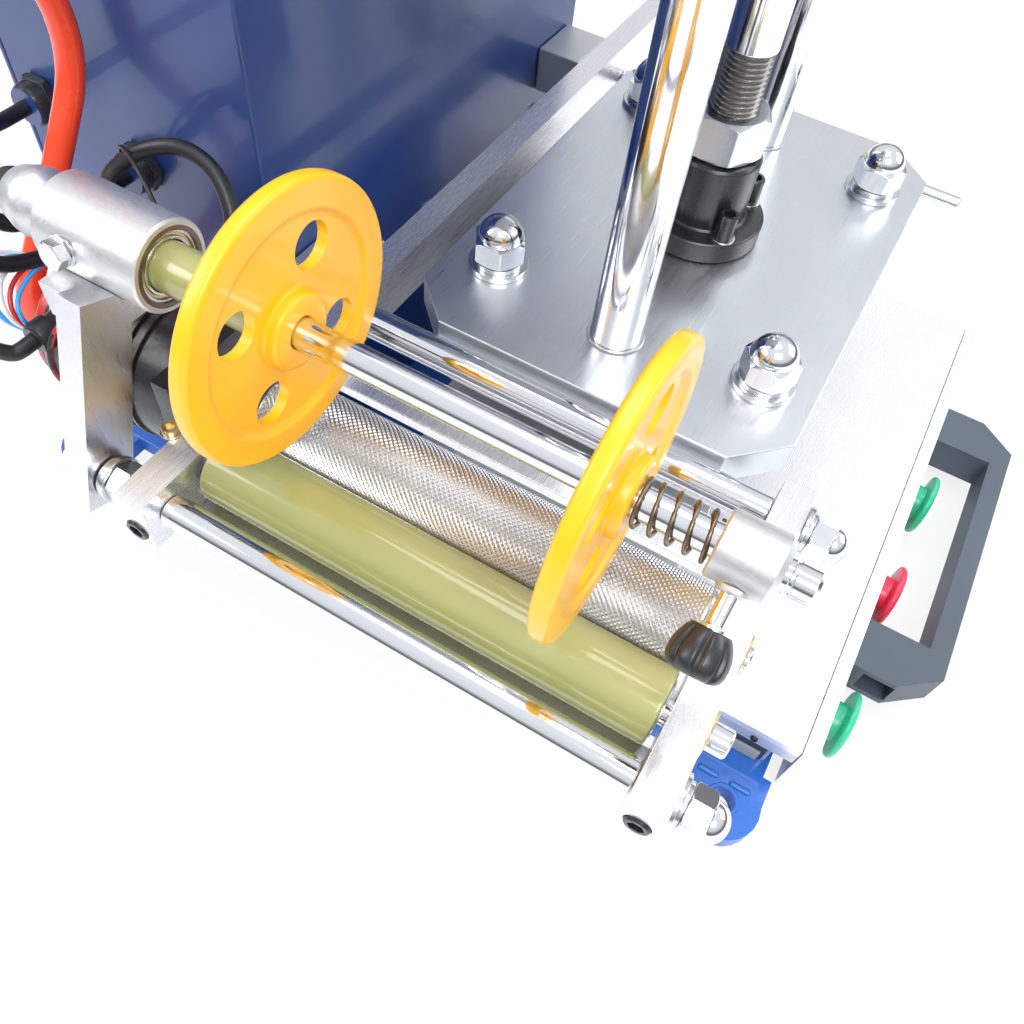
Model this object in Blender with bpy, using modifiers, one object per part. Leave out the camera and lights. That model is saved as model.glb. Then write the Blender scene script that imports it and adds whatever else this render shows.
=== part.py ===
"""Bench-top cup sealing machine: drawer with a cup mould, pneumatic sealing press on two
guide columns, and a pair of side arms that carry the film from a supply reel, past the
press, through two pull rollers and onto a rewind reel for the punched waste film.

The origin is on the bench, under the middle of the press plate.  +X runs along the film
from the rewind reel (-X) to the supply reel (+X), -Y faces the operator, +Z is up.
All sizes below are in millimetres; the helpers turn them into metres.
"""
import math

import bmesh
import bpy
from mathutils import Matrix, Vector

MM = 0.001
GAP = 0.3                      # clearance left between pieces that touch

# ---------------------------------------------------------------- driving dimensions
BASE_HALF_X = 196              # cast base
BASE_FRONT_Y = -166
BASE_H = 13
LUG_R = 21
LUG_HOLE_R = 6.5
LUG_REACH = 17                 # lug centre outside the base's side
LUG_INSET_Y = 15               # lug centre behind the base's front edge

RAIL_W = 18                    # drawer slide rails
RAIL_H = 30
DRAWER_HALF_X = 186
DRAWER_FRONT_Y = -181
DRAWER_BACK_Y = 100
SHEET = 6                      # drawer top, with its folded edge
FASCIA_H = 44
FASCIA_T = 8

ARM_CENTRE_Z = 162             # film arms: flat bars on edge
ARM_H = 28
ARM_T = 15
ARM_GAP = 214.5                # clear width between the arms
ARM_MID_Y = 6.25
ARM_LEFT_X = -299
FRONT_ARM_RIGHT_X = -137       # the front arm stops short of the press

PLATE_TOP_Z = 177              # press plate
PLATE_T = 18
PLATE_HALF_X = 143
PLATE_CHAMFER = 24
PLATE_FRONT_CLEAR = 2.5
PLATE_BACK_CLEAR = 15
HEATER_T = 18
MOULD_TOP_Z = 119
MOULD_T = 12
CUP_R = 40
CUP_PITCH = 124
COLUMN_R = 12.5
COLUMN_X = 102
COLUMN_TOP_Z = 420

BRIDGE_Z = 356                 # plate that carries the cylinder
BRIDGE_T = 18
BRIDGE_HALF_X = 132
BRIDGE_MARGIN = 4.5            # in front of the cylinder
CYLINDER_SIDE = 78
CYLINDER_H = 128
PISTON_R = 12.5

TOWER_HALF_X = 158             # sheet-metal tower behind the arms
TOWER_FRONT_Y = 158
TOWER_DEPTH = 154
TOWER_TOP_Z = 470
TOWER_WALL = 3

REWIND_X = -237                # rewind spindle
SPINDLE_RISE = 83              # above the arms' centre line
SPINDLE_R = 6
SPINDLE_FRONT_Y = -121.5
DISC_R = 55
DISC_T = 7.2
DISC_BORE_CLEAR = 0.3
FILM_W = 125                   # between the two discs
DISC_TO_ARM = 38               # inner disc's face to the back arm's inner face
DISC_HOLE_R = 9
DISC_HOLE_PITCH_R = 30
COLLAR_R = 12
COLLAR_L = 22
SPRING_L = 27.8
SPRING_R = 8.4
SPRING_WIRE_R = 0.8
SPRING_TURNS = 5
HOUSING_R = 18.6
HOUSING_L = 50
HOUSING_GAP = 49.7             # inner disc's back to the housing's front
NECK_L = 25.5
SLEEVE_R = 10
BEARING_R = 15

ROLLER_SHAFT_R = 6
KNURL_R = 20
RUBBER_R = 16
KNURL_X = -220.5
TIE_ROD_R = 7
TIE_ROD_X = -286
IDLER_R = 8
IDLER_X = -154
IDLER_Z = 168

SUPPLY_X = 418                 # supply spindle
SUPPLY_Z = 222
SUPPLY_FRONT_Y = -75
SUPPLY_POST_W = 24             # upright on the back arm that holds it
GUIDE_ROD_X = 152              # film guide rod beyond the press plate
GUIDE_ROD_Z = 152.5
GUIDE_ROD_R = 4.5
GUIDE_ROD_FRONT_Y = -122
MOTOR_R = 35
MOTOR_L = 52
BRACKET_T = 12
BRACKET_W = 24
BRACKET_OFF = 17.5             # back arm's outer face to the bracket

# ---------------------------------------------------------------- derived places
FRONT_IN = ARM_MID_Y - ARM_GAP / 2
BACK_IN = ARM_MID_Y + ARM_GAP / 2
FRONT_OUT = FRONT_IN - ARM_T
BACK_OUT = BACK_IN + ARM_T
ARM_TOP_Z = ARM_CENTRE_Z + ARM_H / 2
ARM_LOW_Z = ARM_CENTRE_Z - ARM_H / 2
RAIL_Z = BASE_H + GAP
DRAWER_Z = RAIL_Z + RAIL_H + GAP
DRAWER_TOP_Z = DRAWER_Z + SHEET
PLATE_FRONT_Y = FRONT_IN + PLATE_FRONT_CLEAR
PLATE_BACK_Y = BACK_IN - PLATE_BACK_CLEAR
PLATE_LOW_Z = PLATE_TOP_Z - PLATE_T
PLATE_MID_Y = (PLATE_FRONT_Y + PLATE_BACK_Y) / 2
SPINDLE_Z = ARM_CENTRE_Z + SPINDLE_RISE
INNER_FACE_Y = BACK_IN - DISC_TO_ARM
INNER_BACK_Y = INNER_FACE_Y + DISC_T
OUTER_BACK_Y = INNER_FACE_Y - FILM_W
OUTER_FACE_Y = OUTER_BACK_Y - DISC_T
HUB_PROUD = 3
SPRING_BACK_Y = OUTER_FACE_Y - HUB_PROUD - GAP
COLLAR_BACK_Y = SPRING_BACK_Y - SPRING_L - GAP
HOUSING_Y = INNER_BACK_Y + HOUSING_GAP
TOWER_BACK_Y = TOWER_FRONT_Y + TOWER_DEPTH
RUBBER_X = KNURL_X - KNURL_R - RUBBER_R - GAP
BRACKET_Y = BACK_OUT + BRACKET_OFF
BACK_ARM_RIGHT_X = SUPPLY_X + SUPPLY_POST_W / 2

UP = Vector((0, 0, 1))
FRONT = Vector((0, -1, 0))     # towards the operator
BACK = Vector((0, 1, 0))
LEFT = Vector((-1, 0, 0))

for old in list(bpy.data.objects):
    bpy.data.objects.remove(old)


def new_collection(name):
    collection = bpy.data.collections.new(name)
    bpy.context.scene.collection.children.link(collection)
    return collection


PARTS = new_collection("cup_sealing_machine")
CUTTERS = new_collection("cutters")


def new_material(name, colour, roughness, metallic):
    material = bpy.data.materials.new(name)
    material.use_nodes = True
    shader = material.node_tree.nodes["Principled BSDF"]
    shader.inputs["Base Color"].default_value = (*colour, 1)
    shader.inputs["Roughness"].default_value = roughness
    shader.inputs["Metallic"].default_value = metallic
    return material


BLUE = new_material("blue_paint", (0.02, 0.07, 0.35), 0.4, 0)
STEEL = new_material("brushed_stainless", (0.62, 0.63, 0.65), 0.35, 1)
CHROME = new_material("chrome", (0.75, 0.76, 0.78), 0.12, 1)
ALUMINIUM = new_material("satin_aluminium", (0.6, 0.61, 0.63), 0.4, 1)
BLACK = new_material("black_oxide", (0.02, 0.02, 0.022), 0.4, 0)
YELLOW = new_material("yellow_plastic", (1.0, 0.5, 0.01), 0.35, 0)
AMBER = new_material("amber_rubber", (0.4, 0.42, 0.13), 0.25, 0)
SLATE = new_material("slate_plastic", (0.08, 0.1, 0.13), 0.45, 0)
GREEN = new_material("green_button", (0.03, 0.45, 0.25), 0.35, 0)
RED = new_material("red_button", (0.8, 0.03, 0.06), 0.35, 0)
ORANGE = new_material("orange_hose", (0.95, 0.08, 0.03), 0.35, 0)


# ---------------------------------------------------------------- modelling helpers
def metres(point):
    return Vector(point) * MM


def body(name, location):
    """An empty on a joint's axis; the pieces of that body are its children."""
    empty = bpy.data.objects.new(name, None)
    empty.location = metres(location)
    PARTS.objects.link(empty)
    return empty


def place(obj, material, parent=None):
    """Adds a piece to the model, or a cutter when it has no material."""
    if material is None:
        CUTTERS.objects.link(obj)
        obj.hide_render = True
        obj.display_type = "WIRE"
        return obj
    PARTS.objects.link(obj)
    obj.data.materials.append(material)
    if parent is not None:
        obj.parent = parent
        obj.matrix_parent_inverse = Matrix.Translation(parent.location).inverted()
    return obj


def box(name, low, high, material=None, parent=None, bevel=0.0):
    low, high = metres(low), metres(high)
    shape = bmesh.new()
    bmesh.ops.create_cube(shape, size=1)
    bmesh.ops.scale(shape, vec=high - low, verts=shape.verts)
    mesh = bpy.data.meshes.new(name)
    shape.to_mesh(mesh)
    shape.free()
    obj = bpy.data.objects.new(name, mesh)
    obj.location = (low + high) / 2
    if bevel:
        edges = obj.modifiers.new("edges", "BEVEL")
        edges.width = bevel * MM
        edges.segments = 2
        edges.limit_method = "ANGLE"
    return place(obj, material, parent)


def along(direction):
    return UP.rotation_difference(Vector(direction)).to_euler()


def turned(name, at, direction, profile, material=None, parent=None, steps=28, ring=False):
    """A turned piece: profile is (radius, distance along direction), outer side top first."""
    count = len(profile)
    edges = [(i, i + 1) for i in range(count - 1)]
    if ring:
        edges.append((count - 1, 0))
    mesh = bpy.data.meshes.new(name)
    mesh.from_pydata([(r * MM, 0, h * MM) for r, h in profile], edges, [])
    obj = bpy.data.objects.new(name, mesh)
    obj.location = metres(at)
    obj.rotation_euler = along(direction)
    screw = obj.modifiers.new("turn", "SCREW")
    screw.steps = steps
    screw.render_steps = steps
    screw.use_merge_vertices = True
    screw.merge_threshold = 0.00001
    screw.use_smooth_shade = True
    return place(obj, material, parent)


def rod(name, at, direction, radius, length, material=None, parent=None, steps=24, chamfer=0.0):
    """A plain round bar from at, length long in direction."""
    profile = [(0, length), (radius - chamfer, length), (radius, length - chamfer),
               (radius, chamfer), (radius - chamfer, 0), (0, 0)]
    if not chamfer:
        profile = [(0, length), (radius, length), (radius, 0), (0, 0)]
    return turned(name, at, direction, profile, material, parent, steps)


def tube(name, at, direction, outer, inner, length, material=None, parent=None, steps=28):
    profile = [(outer, length), (outer, 0), (inner, 0), (inner, length)]
    return turned(name, at, direction, profile, material, parent, steps, ring=True)


def hexagon(name, at, direction, across_flats, length, material=None, parent=None):
    radius = across_flats / math.sqrt(3)
    return rod(name, at, direction, radius, length, material, parent, steps=6)


def boolean(obj, tool, operation):
    modifier = obj.modifiers.new(operation.lower() + "_" + tool.name, "BOOLEAN")
    modifier.operation = operation
    modifier.object = tool
    return obj


def cut(obj, tool):
    return boolean(obj, tool, "DIFFERENCE")


def add(obj, tool):
    return boolean(obj, tool, "UNION")


def smooth_route(points, count):
    """A straight lead at each end and count points on a Catmull-Rom curve between them."""
    knots = [Vector(point) for point in points]
    route = [knots[0]]
    for step in range(count):
        t = step / (count - 1) * (len(points) - 3)
        i = min(int(t), len(points) - 4)
        t -= i
        a, b, c, d = knots[i:i + 4]
        route.append(0.5 * (2 * b + (c - a) * t + (2 * a - 5 * b + 4 * c - d) * t ** 2
                            + (3 * b - a - 3 * c + d) * t ** 3))
    return [*route, knots[-1]]


def wire(name, route, radius, material, parent=None, resolution=2):
    """A round wire or cord: a poly curve with a bevel and filled caps."""
    curve = bpy.data.curves.new(name, "CURVE")
    curve.dimensions = "3D"
    curve.bevel_depth = radius * MM
    curve.bevel_resolution = resolution
    curve.use_fill_caps = True
    spline = curve.splines.new("POLY")
    spline.points.add(len(route) - 1)
    for point, place_mm in zip(spline.points, route):
        point.co = (*metres(place_mm), 1)
    obj = bpy.data.objects.new(name, curve)
    return place(obj, material, parent)


def mirrored_x(x):
    return ((-x, "left"), (x, "right"))


# ---------------------------------------------------------------- base and drawer slides
def build_base():
    """Cast base plate with four bolt-down lugs."""
    base = box("base_casting", (-BASE_HALF_X, BASE_FRONT_Y, 0), (BASE_HALF_X, TOWER_BACK_Y, BASE_H),
               BLUE, bevel=1.5)
    for side, label in mirrored_x(1):
        x = side * (BASE_HALF_X + LUG_REACH)
        for y, row in ((BASE_FRONT_Y + LUG_INSET_Y, "front"), (TOWER_BACK_Y - LUG_R - 4, "rear")):
            corner = f"{row}_{label}"
            ear = rod("lug_" + corner, (x, y, 0), UP, LUG_R, BASE_H - 1)
            neck = box("lug_neck_" + corner, (min(x, side * (BASE_HALF_X - 6)), y - LUG_R + 1, 0),
                       (max(x, side * (BASE_HALF_X - 6)), y + LUG_R - 1, BASE_H - 1))
            hole = rod("lug_hole_" + corner, (x, y, -5), UP, LUG_HOLE_R, BASE_H + 10, steps=24)
            add(base, ear)
            add(base, neck)
            cut(base, hole)
    for x, label in mirrored_x(DRAWER_HALF_X - RAIL_W / 2 - 3):
        box("slide_rail_" + label, (x - RAIL_W / 2, BASE_FRONT_Y + 6, RAIL_Z),
            (x + RAIL_W / 2, TOWER_FRONT_Y - 20, RAIL_Z + RAIL_H), BLACK)


# ---------------------------------------------------------------- drawer
HANDLE_LEG_X = 94              # middle of a handle leg
HANDLE_LEG_W = 40
HANDLE_OUT = 50                # reach in front of the fascia
HANDLE_H = 24
HANDLE_BAR = 12
FASCIA_FACE_Y = DRAWER_FRONT_Y
BUTTON_Z = DRAWER_TOP_Z - 25
BUTTON_CAP_R = 20
BUTTON_CAP_T = 5
BUTTON_STEM_R = 11
BUTTON_STEM_L = 9
BUTTONS = (("start_button_left", -145, GREEN), ("stop_button", -50, RED),
           ("start_button_right", 31, GREEN))


def build_drawer():
    slide = body("drawer", (0, DRAWER_FRONT_Y, DRAWER_TOP_Z))
    top = box("drawer_table", (-DRAWER_HALF_X, DRAWER_FRONT_Y + FASCIA_T + GAP, DRAWER_Z),
              (DRAWER_HALF_X, DRAWER_BACK_Y, DRAWER_TOP_Z), STEEL, slide, bevel=0.6)
    fascia = box("drawer_fascia", (-DRAWER_HALF_X, FASCIA_FACE_Y, DRAWER_TOP_Z - FASCIA_H),
                 (DRAWER_HALF_X, FASCIA_FACE_Y + FASCIA_T, DRAWER_TOP_Z), STEEL, slide, bevel=0.6)
    mould = box("mould_plate", (-PLATE_HALF_X + 12, PLATE_FRONT_Y + 22, MOULD_TOP_Z - MOULD_T),
                (PLATE_HALF_X - 12, PLATE_BACK_Y - 22, MOULD_TOP_Z), ALUMINIUM, slide)
    for side in (-1, 1):
        x = side * (PLATE_HALF_X - 26)
        foot = box(f"mould_wall_{side + 1}", (x - 6, PLATE_FRONT_Y + 24, DRAWER_TOP_Z + GAP),
                   (x + 6, PLATE_BACK_Y - 24, MOULD_TOP_Z - MOULD_T + 4))
        add(mould, foot)
        cup_x = side * CUP_PITCH / 2
        cut(mould, rod(f"cup_bore_{side + 1}", (cup_x, PLATE_MID_Y, MOULD_TOP_Z - MOULD_T - 5), UP,
                       CUP_R, MOULD_T + 10, steps=48))
        cut(mould, rod(f"cup_rim_{side + 1}", (cup_x, PLATE_MID_Y, MOULD_TOP_Z - 3), UP,
                       CUP_R + 5, 10, steps=48))
        cut(top, rod(f"cup_window_{side + 1}", (cup_x, PLATE_MID_Y, DRAWER_Z - 5), UP,
                     CUP_R + 3, SHEET + 10, steps=48))
    for name, x, colour in BUTTONS:
        build_button(name, x, colour, slide, fascia)
    build_handle(slide)


def build_button(name, x, colour, slide, fascia):
    """A mushroom button: a cap in front of the fascia on a stem that passes through it."""
    moving = body(name + "_slide", (x, FASCIA_FACE_Y, BUTTON_Z))
    moving.parent = slide
    moving.matrix_parent_inverse = Matrix.Translation(slide.location).inverted()
    profile = [(0, BUTTON_STEM_L + BUTTON_CAP_T), (BUTTON_CAP_R * 0.8, BUTTON_STEM_L + BUTTON_CAP_T - 0.6),
               (BUTTON_CAP_R, BUTTON_STEM_L + BUTTON_CAP_T * 0.5), (BUTTON_CAP_R, BUTTON_STEM_L),
               (BUTTON_STEM_R, BUTTON_STEM_L), (BUTTON_STEM_R, -FASCIA_T - 2), (0, -FASCIA_T - 2)]
    cap = turned(name, (x, FASCIA_FACE_Y, BUTTON_Z), FRONT, profile, colour, steps=32)
    cap.parent = moving
    cap.matrix_parent_inverse = Matrix.Translation(metres((x, FASCIA_FACE_Y, BUTTON_Z))).inverted()
    cut(fascia, rod(name + "_hole", (x, FASCIA_FACE_Y - 5, BUTTON_Z), BACK,
                    BUTTON_STEM_R + GAP, FASCIA_T + 10, steps=32))


def build_handle(slide):
    """Bridge handle with chamfered, hollow ends, moulded in one piece."""
    back = FASCIA_FACE_Y - GAP
    front = back - HANDLE_OUT
    z0, z1 = BUTTON_Z - HANDLE_H / 2, BUTTON_Z + HANDLE_H / 2
    outer_x = HANDLE_LEG_X + HANDLE_LEG_W / 2
    handle = box("drawer_handle", (-outer_x, front, z0), (outer_x, back, z1), SLATE, slide)
    inner_x = HANDLE_LEG_X - HANDLE_LEG_W / 2 + 6
    cut(handle, box("handle_gap", (-inner_x, front + HANDLE_BAR, z0 - 5), (inner_x, back + 5, z1 + 5)))
    slope = math.atan2(HANDLE_LEG_W * 0.62, HANDLE_OUT * 0.62)
    for side, label in mirrored_x(1):
        corner = box("handle_corner_" + label, (-40, -20, -HANDLE_H), (40, 20, HANDLE_H))
        corner.rotation_euler = (0, 0, side * (math.pi / 2 - slope))
        centre = Vector((side * (outer_x - 10), front + 10, BUTTON_Z))
        outward = Vector((side * math.cos(slope), -math.sin(slope), 0))
        corner.location = metres(centre + outward * 20)
        cut(handle, corner)
        hollow_x = sorted((side * (outer_x - 16), side * (outer_x + 5)))
        cut(handle, box("handle_hollow_" + label, (hollow_x[0], front + 22, z0 + 4),
                        (hollow_x[1], back - 10, z1 - 4)))


# ---------------------------------------------------------------- tower, bridge, cylinder
HOSE_HIGH = (244, 400)         # Y and Z of each port on the tower's side
HOSE_LOW = (262, 117)
CABLE_HIGH = (290, 218)
CABLE_LOW = (232, 205)
PORT_R = 9
PORT_L = 12


def build_tower():
    shell = box("tower_shell", (-TOWER_HALF_X, TOWER_FRONT_Y, BASE_H + GAP),
                (TOWER_HALF_X, TOWER_BACK_Y - TOWER_WALL - GAP, TOWER_TOP_Z), BLUE, bevel=1.2)
    for number, (y, z) in enumerate((HOSE_HIGH, HOSE_LOW, CABLE_HIGH, CABLE_LOW)):
        add(shell, rod(f"port_{number}", (-TOWER_HALF_X + 1, y, z), LEFT, PORT_R, PORT_L + 1, steps=24))
    cut(shell, box("tower_hollow", (-TOWER_HALF_X + TOWER_WALL, TOWER_FRONT_Y + TOWER_WALL,
                                    BASE_H + GAP + TOWER_WALL),
                   (TOWER_HALF_X - TOWER_WALL, TOWER_BACK_Y + 20, TOWER_TOP_Z - TOWER_WALL)))
    cover = box("tower_rear_cover", (-TOWER_HALF_X, TOWER_BACK_Y - TOWER_WALL, BASE_H + GAP),
                (TOWER_HALF_X, TOWER_BACK_Y, TOWER_TOP_Z), BLUE, bevel=0.8)
    for row in range(6):
        z = TOWER_TOP_Z - 70 - row * 14
        cut(cover, box(f"vent_{row}", (-60, TOWER_BACK_Y - 10, z), (60, TOWER_BACK_Y + 10, z + 5)))


def build_bridge():
    """Thick plate from the tower over the press, with guide bushes and the cylinder."""
    front_y = PLATE_MID_Y - CYLINDER_SIDE / 2 - BRIDGE_MARGIN
    bridge = box("bridge_plate", (-BRIDGE_HALF_X, front_y, BRIDGE_Z),
                 (BRIDGE_HALF_X, TOWER_FRONT_Y - GAP, BRIDGE_Z + BRIDGE_T), STEEL, bevel=1)
    cut(bridge, rod("bridge_bore", (0, PLATE_MID_Y, BRIDGE_Z - 5), UP, PISTON_R + 4, BRIDGE_T + 10))
    bush_r = COLUMN_R + 8
    for x, label in mirrored_x(COLUMN_X):
        cut(bridge, rod("bush_seat_" + label, (x, PLATE_MID_Y, BRIDGE_Z - 5), UP, bush_r + GAP,
                        BRIDGE_T + 10))
        profile = [(bush_r, BRIDGE_T + 8), (bush_r, -GAP), (bush_r + 8, -GAP), (bush_r + 8, -8),
                   (COLUMN_R + GAP, -8), (COLUMN_R + GAP, BRIDGE_T + 8)]
        turned("guide_bush_" + label, (x, PLATE_MID_Y, BRIDGE_Z), UP, profile, ALUMINIUM, ring=True)
    half = CYLINDER_SIDE / 2
    z0 = BRIDGE_Z + BRIDGE_T + GAP
    cylinder = box("cylinder_body", (-half, PLATE_MID_Y - half, z0),
                   (half, PLATE_MID_Y + half, z0 + CYLINDER_H), ALUMINIUM)
    for side in (-1, 1):
        for axis in (0, 1):
            low = [-half - 5, PLATE_MID_Y - half - 5, z0 + 24]
            high = [half + 5, PLATE_MID_Y + half + 5, z0 + CYLINDER_H - 24]
            middle = (0, PLATE_MID_Y)[axis]
            if side > 0:
                low[axis] = middle + half - 5
            else:
                high[axis] = middle - half + 5
            cut(cylinder, box(f"cylinder_waist_{axis}_{side + 1}", low, high))
    cut(cylinder, rod("cylinder_bore", (0, PLATE_MID_Y, z0 - 5), UP, PISTON_R + GAP, CYLINDER_H - 15))


# ---------------------------------------------------------------- press
NUT_X = 91
NUT_Y = 72
NUT_FLATS = 24
FLANGE_R = 33
FLANGE_T = 12
HUB_R = 22
HUB_H = 46
COUPLING_FLATS = 36
COUPLING_H = 22


def acorn(name, at, direction, flats, material, parent=None):
    """Domed nut on its washer, in one piece."""
    corner = flats / math.sqrt(3)
    washer_t, nut_h = flats * 0.12, flats * 0.62
    dome_r = flats * 0.46
    profile = [(0, washer_t + nut_h + dome_r * 0.9)]
    for step in range(1, 5):
        angle = step * math.pi / 8
        profile.append((dome_r * math.sin(angle), washer_t + nut_h + dome_r * 0.9 * math.cos(angle)))
    profile += [(dome_r, washer_t + 1), (0, washer_t + 1)]
    nut = hexagon(name, at, direction, flats, washer_t + nut_h, material, parent)
    add(nut, turned(name + "_dome", at, direction, profile, steps=24))
    add(nut, rod(name + "_washer", at, direction, corner * 1.12, washer_t, steps=32))
    return nut


def build_press():
    slide = body("press", (0, PLATE_MID_Y, PLATE_TOP_Z))
    plate = box("press_plate", (-PLATE_HALF_X, PLATE_FRONT_Y, PLATE_LOW_Z),
                (PLATE_HALF_X, PLATE_BACK_Y, PLATE_TOP_Z), STEEL, slide)
    for side_x in (-1, 1):
        for side_y, y in ((-1, PLATE_FRONT_Y), (1, PLATE_BACK_Y)):
            corner = box(f"plate_corner_{side_x + 1}_{side_y + 1}", (-60, -30, -30), (60, 30, 30))
            corner.rotation_euler = (0, 0, -side_x * side_y * math.pi / 4)
            edge = Vector((side_x * (PLATE_HALF_X - PLATE_CHAMFER / 2), y - side_y * PLATE_CHAMFER / 2,
                           PLATE_TOP_Z - PLATE_T / 2))
            outward = Vector((side_x, side_y, 0)).normalized()
            corner.location = metres(edge + outward * 30)
            cut(plate, corner)
    box("heater_block", (-PLATE_HALF_X + 10, PLATE_FRONT_Y + 20, PLATE_LOW_Z - GAP - HEATER_T),
        (PLATE_HALF_X - 10, PLATE_BACK_Y - 20, PLATE_LOW_Z - GAP), ALUMINIUM, slide)
    top = PLATE_TOP_Z + GAP
    for x, label in mirrored_x(COLUMN_X):
        rod("guide_column_" + label, (x, PLATE_MID_Y, top), UP, COLUMN_R, COLUMN_TOP_Z - top, CHROME,
            slide, steps=28, chamfer=1)
    for x, label_x in mirrored_x(NUT_X):
        for y, label_y in ((-NUT_Y, "front"), (NUT_Y, "rear")):
            acorn(f"plate_nut_{label_y}_{label_x}", (x, PLATE_MID_Y + y, top), UP, NUT_FLATS, CHROME,
                  slide)
    hub = [(HUB_R, HUB_H), (HUB_R, FLANGE_T), (FLANGE_R, FLANGE_T), (FLANGE_R, 0),
           (PISTON_R - 2, 0), (PISTON_R - 2, HUB_H)]
    turned("flange_coupling", (0, PLATE_MID_Y, top), UP, hub, BLACK, slide, ring=True)
    nut_z = top + HUB_H + GAP
    nut = hexagon("coupling_nut", (0, PLATE_MID_Y, nut_z), UP, COUPLING_FLATS, COUPLING_H, STEEL, slide)
    cut(nut, rod("coupling_nut_bore", (0, PLATE_MID_Y, nut_z - 5), UP, PISTON_R + GAP,
                 COUPLING_H + 10))
    stem_r = PISTON_R - 2 - GAP
    stroke_room = BRIDGE_Z + BRIDGE_T + GAP + CYLINDER_H - 40 - nut_z
    profile = [(0, stroke_room), (PISTON_R, stroke_room), (PISTON_R, 0), (stem_r, -GAP),
               (stem_r, -HUB_H + 4), (0, -HUB_H + 4)]
    turned("piston_rod", (0, PLATE_MID_Y, nut_z), UP, profile, CHROME, slide)


# ---------------------------------------------------------------- arms and cross members
def bore_arms(arms, x, z, radius, label):
    for arm in arms:
        y = FRONT_OUT if arm.name == "arm_front" else BACK_IN
        cut(arm, rod(f"{label}_bore_{arm.name}", (x, y - 5, z), BACK, radius, ARM_T + 10, steps=32))


def build_arms():
    front = box("arm_front", (ARM_LEFT_X, FRONT_OUT, ARM_LOW_Z), (FRONT_ARM_RIGHT_X, FRONT_IN, ARM_TOP_Z),
                STEEL)
    back = box("arm_back", (ARM_LEFT_X, BACK_IN, ARM_LOW_Z), (BACK_ARM_RIGHT_X, BACK_OUT, ARM_TOP_Z),
               STEEL)
    post_half = SUPPLY_POST_W / 2
    add(back, box("supply_post", (SUPPLY_X - post_half, BACK_IN + 0.5, ARM_TOP_Z - 12),
                  (SUPPLY_X + post_half - 0.5, BACK_OUT - 0.5, SUPPLY_Z + post_half)))
    arms = (front, back)
    bore_arms(arms, KNURL_X, ARM_CENTRE_Z, ROLLER_SHAFT_R + GAP, "knurl")
    bore_arms(arms, RUBBER_X, ARM_CENTRE_Z, ROLLER_SHAFT_R + GAP, "rubber")
    bore_arms((back,), SUPPLY_X, SUPPLY_Z, SPINDLE_R + GAP, "supply")
    for x, label in mirrored_x(TOWER_HALF_X - 30):
        box("arm_spacer_" + label, (x - 20, BACK_OUT + GAP, ARM_LOW_Z),
            (x + 20, TOWER_FRONT_Y - GAP, ARM_TOP_Z), ALUMINIUM)
    box("cross_plate", (PLATE_HALF_X * -1 - 42, FRONT_IN + GAP, ARM_LOW_Z),
        (PLATE_HALF_X * -1 - 30, BACK_IN - GAP, ARM_LOW_Z + 6), STEEL)
    box("lower_tie_bar", (TIE_ROD_X + 2, FRONT_OUT, ARM_LOW_Z - GAP - 8),
        (TIE_ROD_X + 19, BACK_OUT, ARM_LOW_Z - GAP), STEEL)
    length = BACK_IN - FRONT_IN - 2 * GAP
    rod("tie_rod", (TIE_ROD_X, FRONT_IN + GAP, ARM_CENTRE_Z), BACK, TIE_ROD_R, length, CHROME,
        chamfer=0.8)
    rod("idler_rod", (IDLER_X, FRONT_IN + GAP, IDLER_Z), BACK, IDLER_R, length, CHROME, chamfer=0.8)
    rod("guide_rod", (GUIDE_ROD_X, GUIDE_ROD_FRONT_Y, GUIDE_ROD_Z), BACK, GUIDE_ROD_R,
        BACK_IN - GAP - GUIDE_ROD_FRONT_Y, CHROME, chamfer=0.8)
    for name, x, z in (("tie_rod_nut", TIE_ROD_X, ARM_CENTRE_Z), ("idler_rod_nut", IDLER_X, IDLER_Z)):
        acorn(name, (x, FRONT_OUT - GAP, z), FRONT, 18, CHROME)


# ---------------------------------------------------------------- pull rollers and motor
def roller(name, x, radius, material, tail):
    """A roller with its two journals; the front one shows past the arm by tail."""
    moving = body(name + "_axis", (x, ARM_MID_Y, ARM_CENTRE_Z))
    barrel = ARM_GAP / 2 - 3
    front_end = ARM_GAP / 2 + ARM_T + tail
    back_end = ARM_GAP / 2 + ARM_T + 2
    profile = [(0, back_end), (ROLLER_SHAFT_R, back_end), (ROLLER_SHAFT_R, barrel), (radius, barrel),
               (radius, -barrel), (ROLLER_SHAFT_R, -barrel), (ROLLER_SHAFT_R, -front_end),
               (0, -front_end)]
    return turned(name, (x, ARM_MID_Y, ARM_CENTRE_Z), BACK, profile, material, moving, steps=36)


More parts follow.
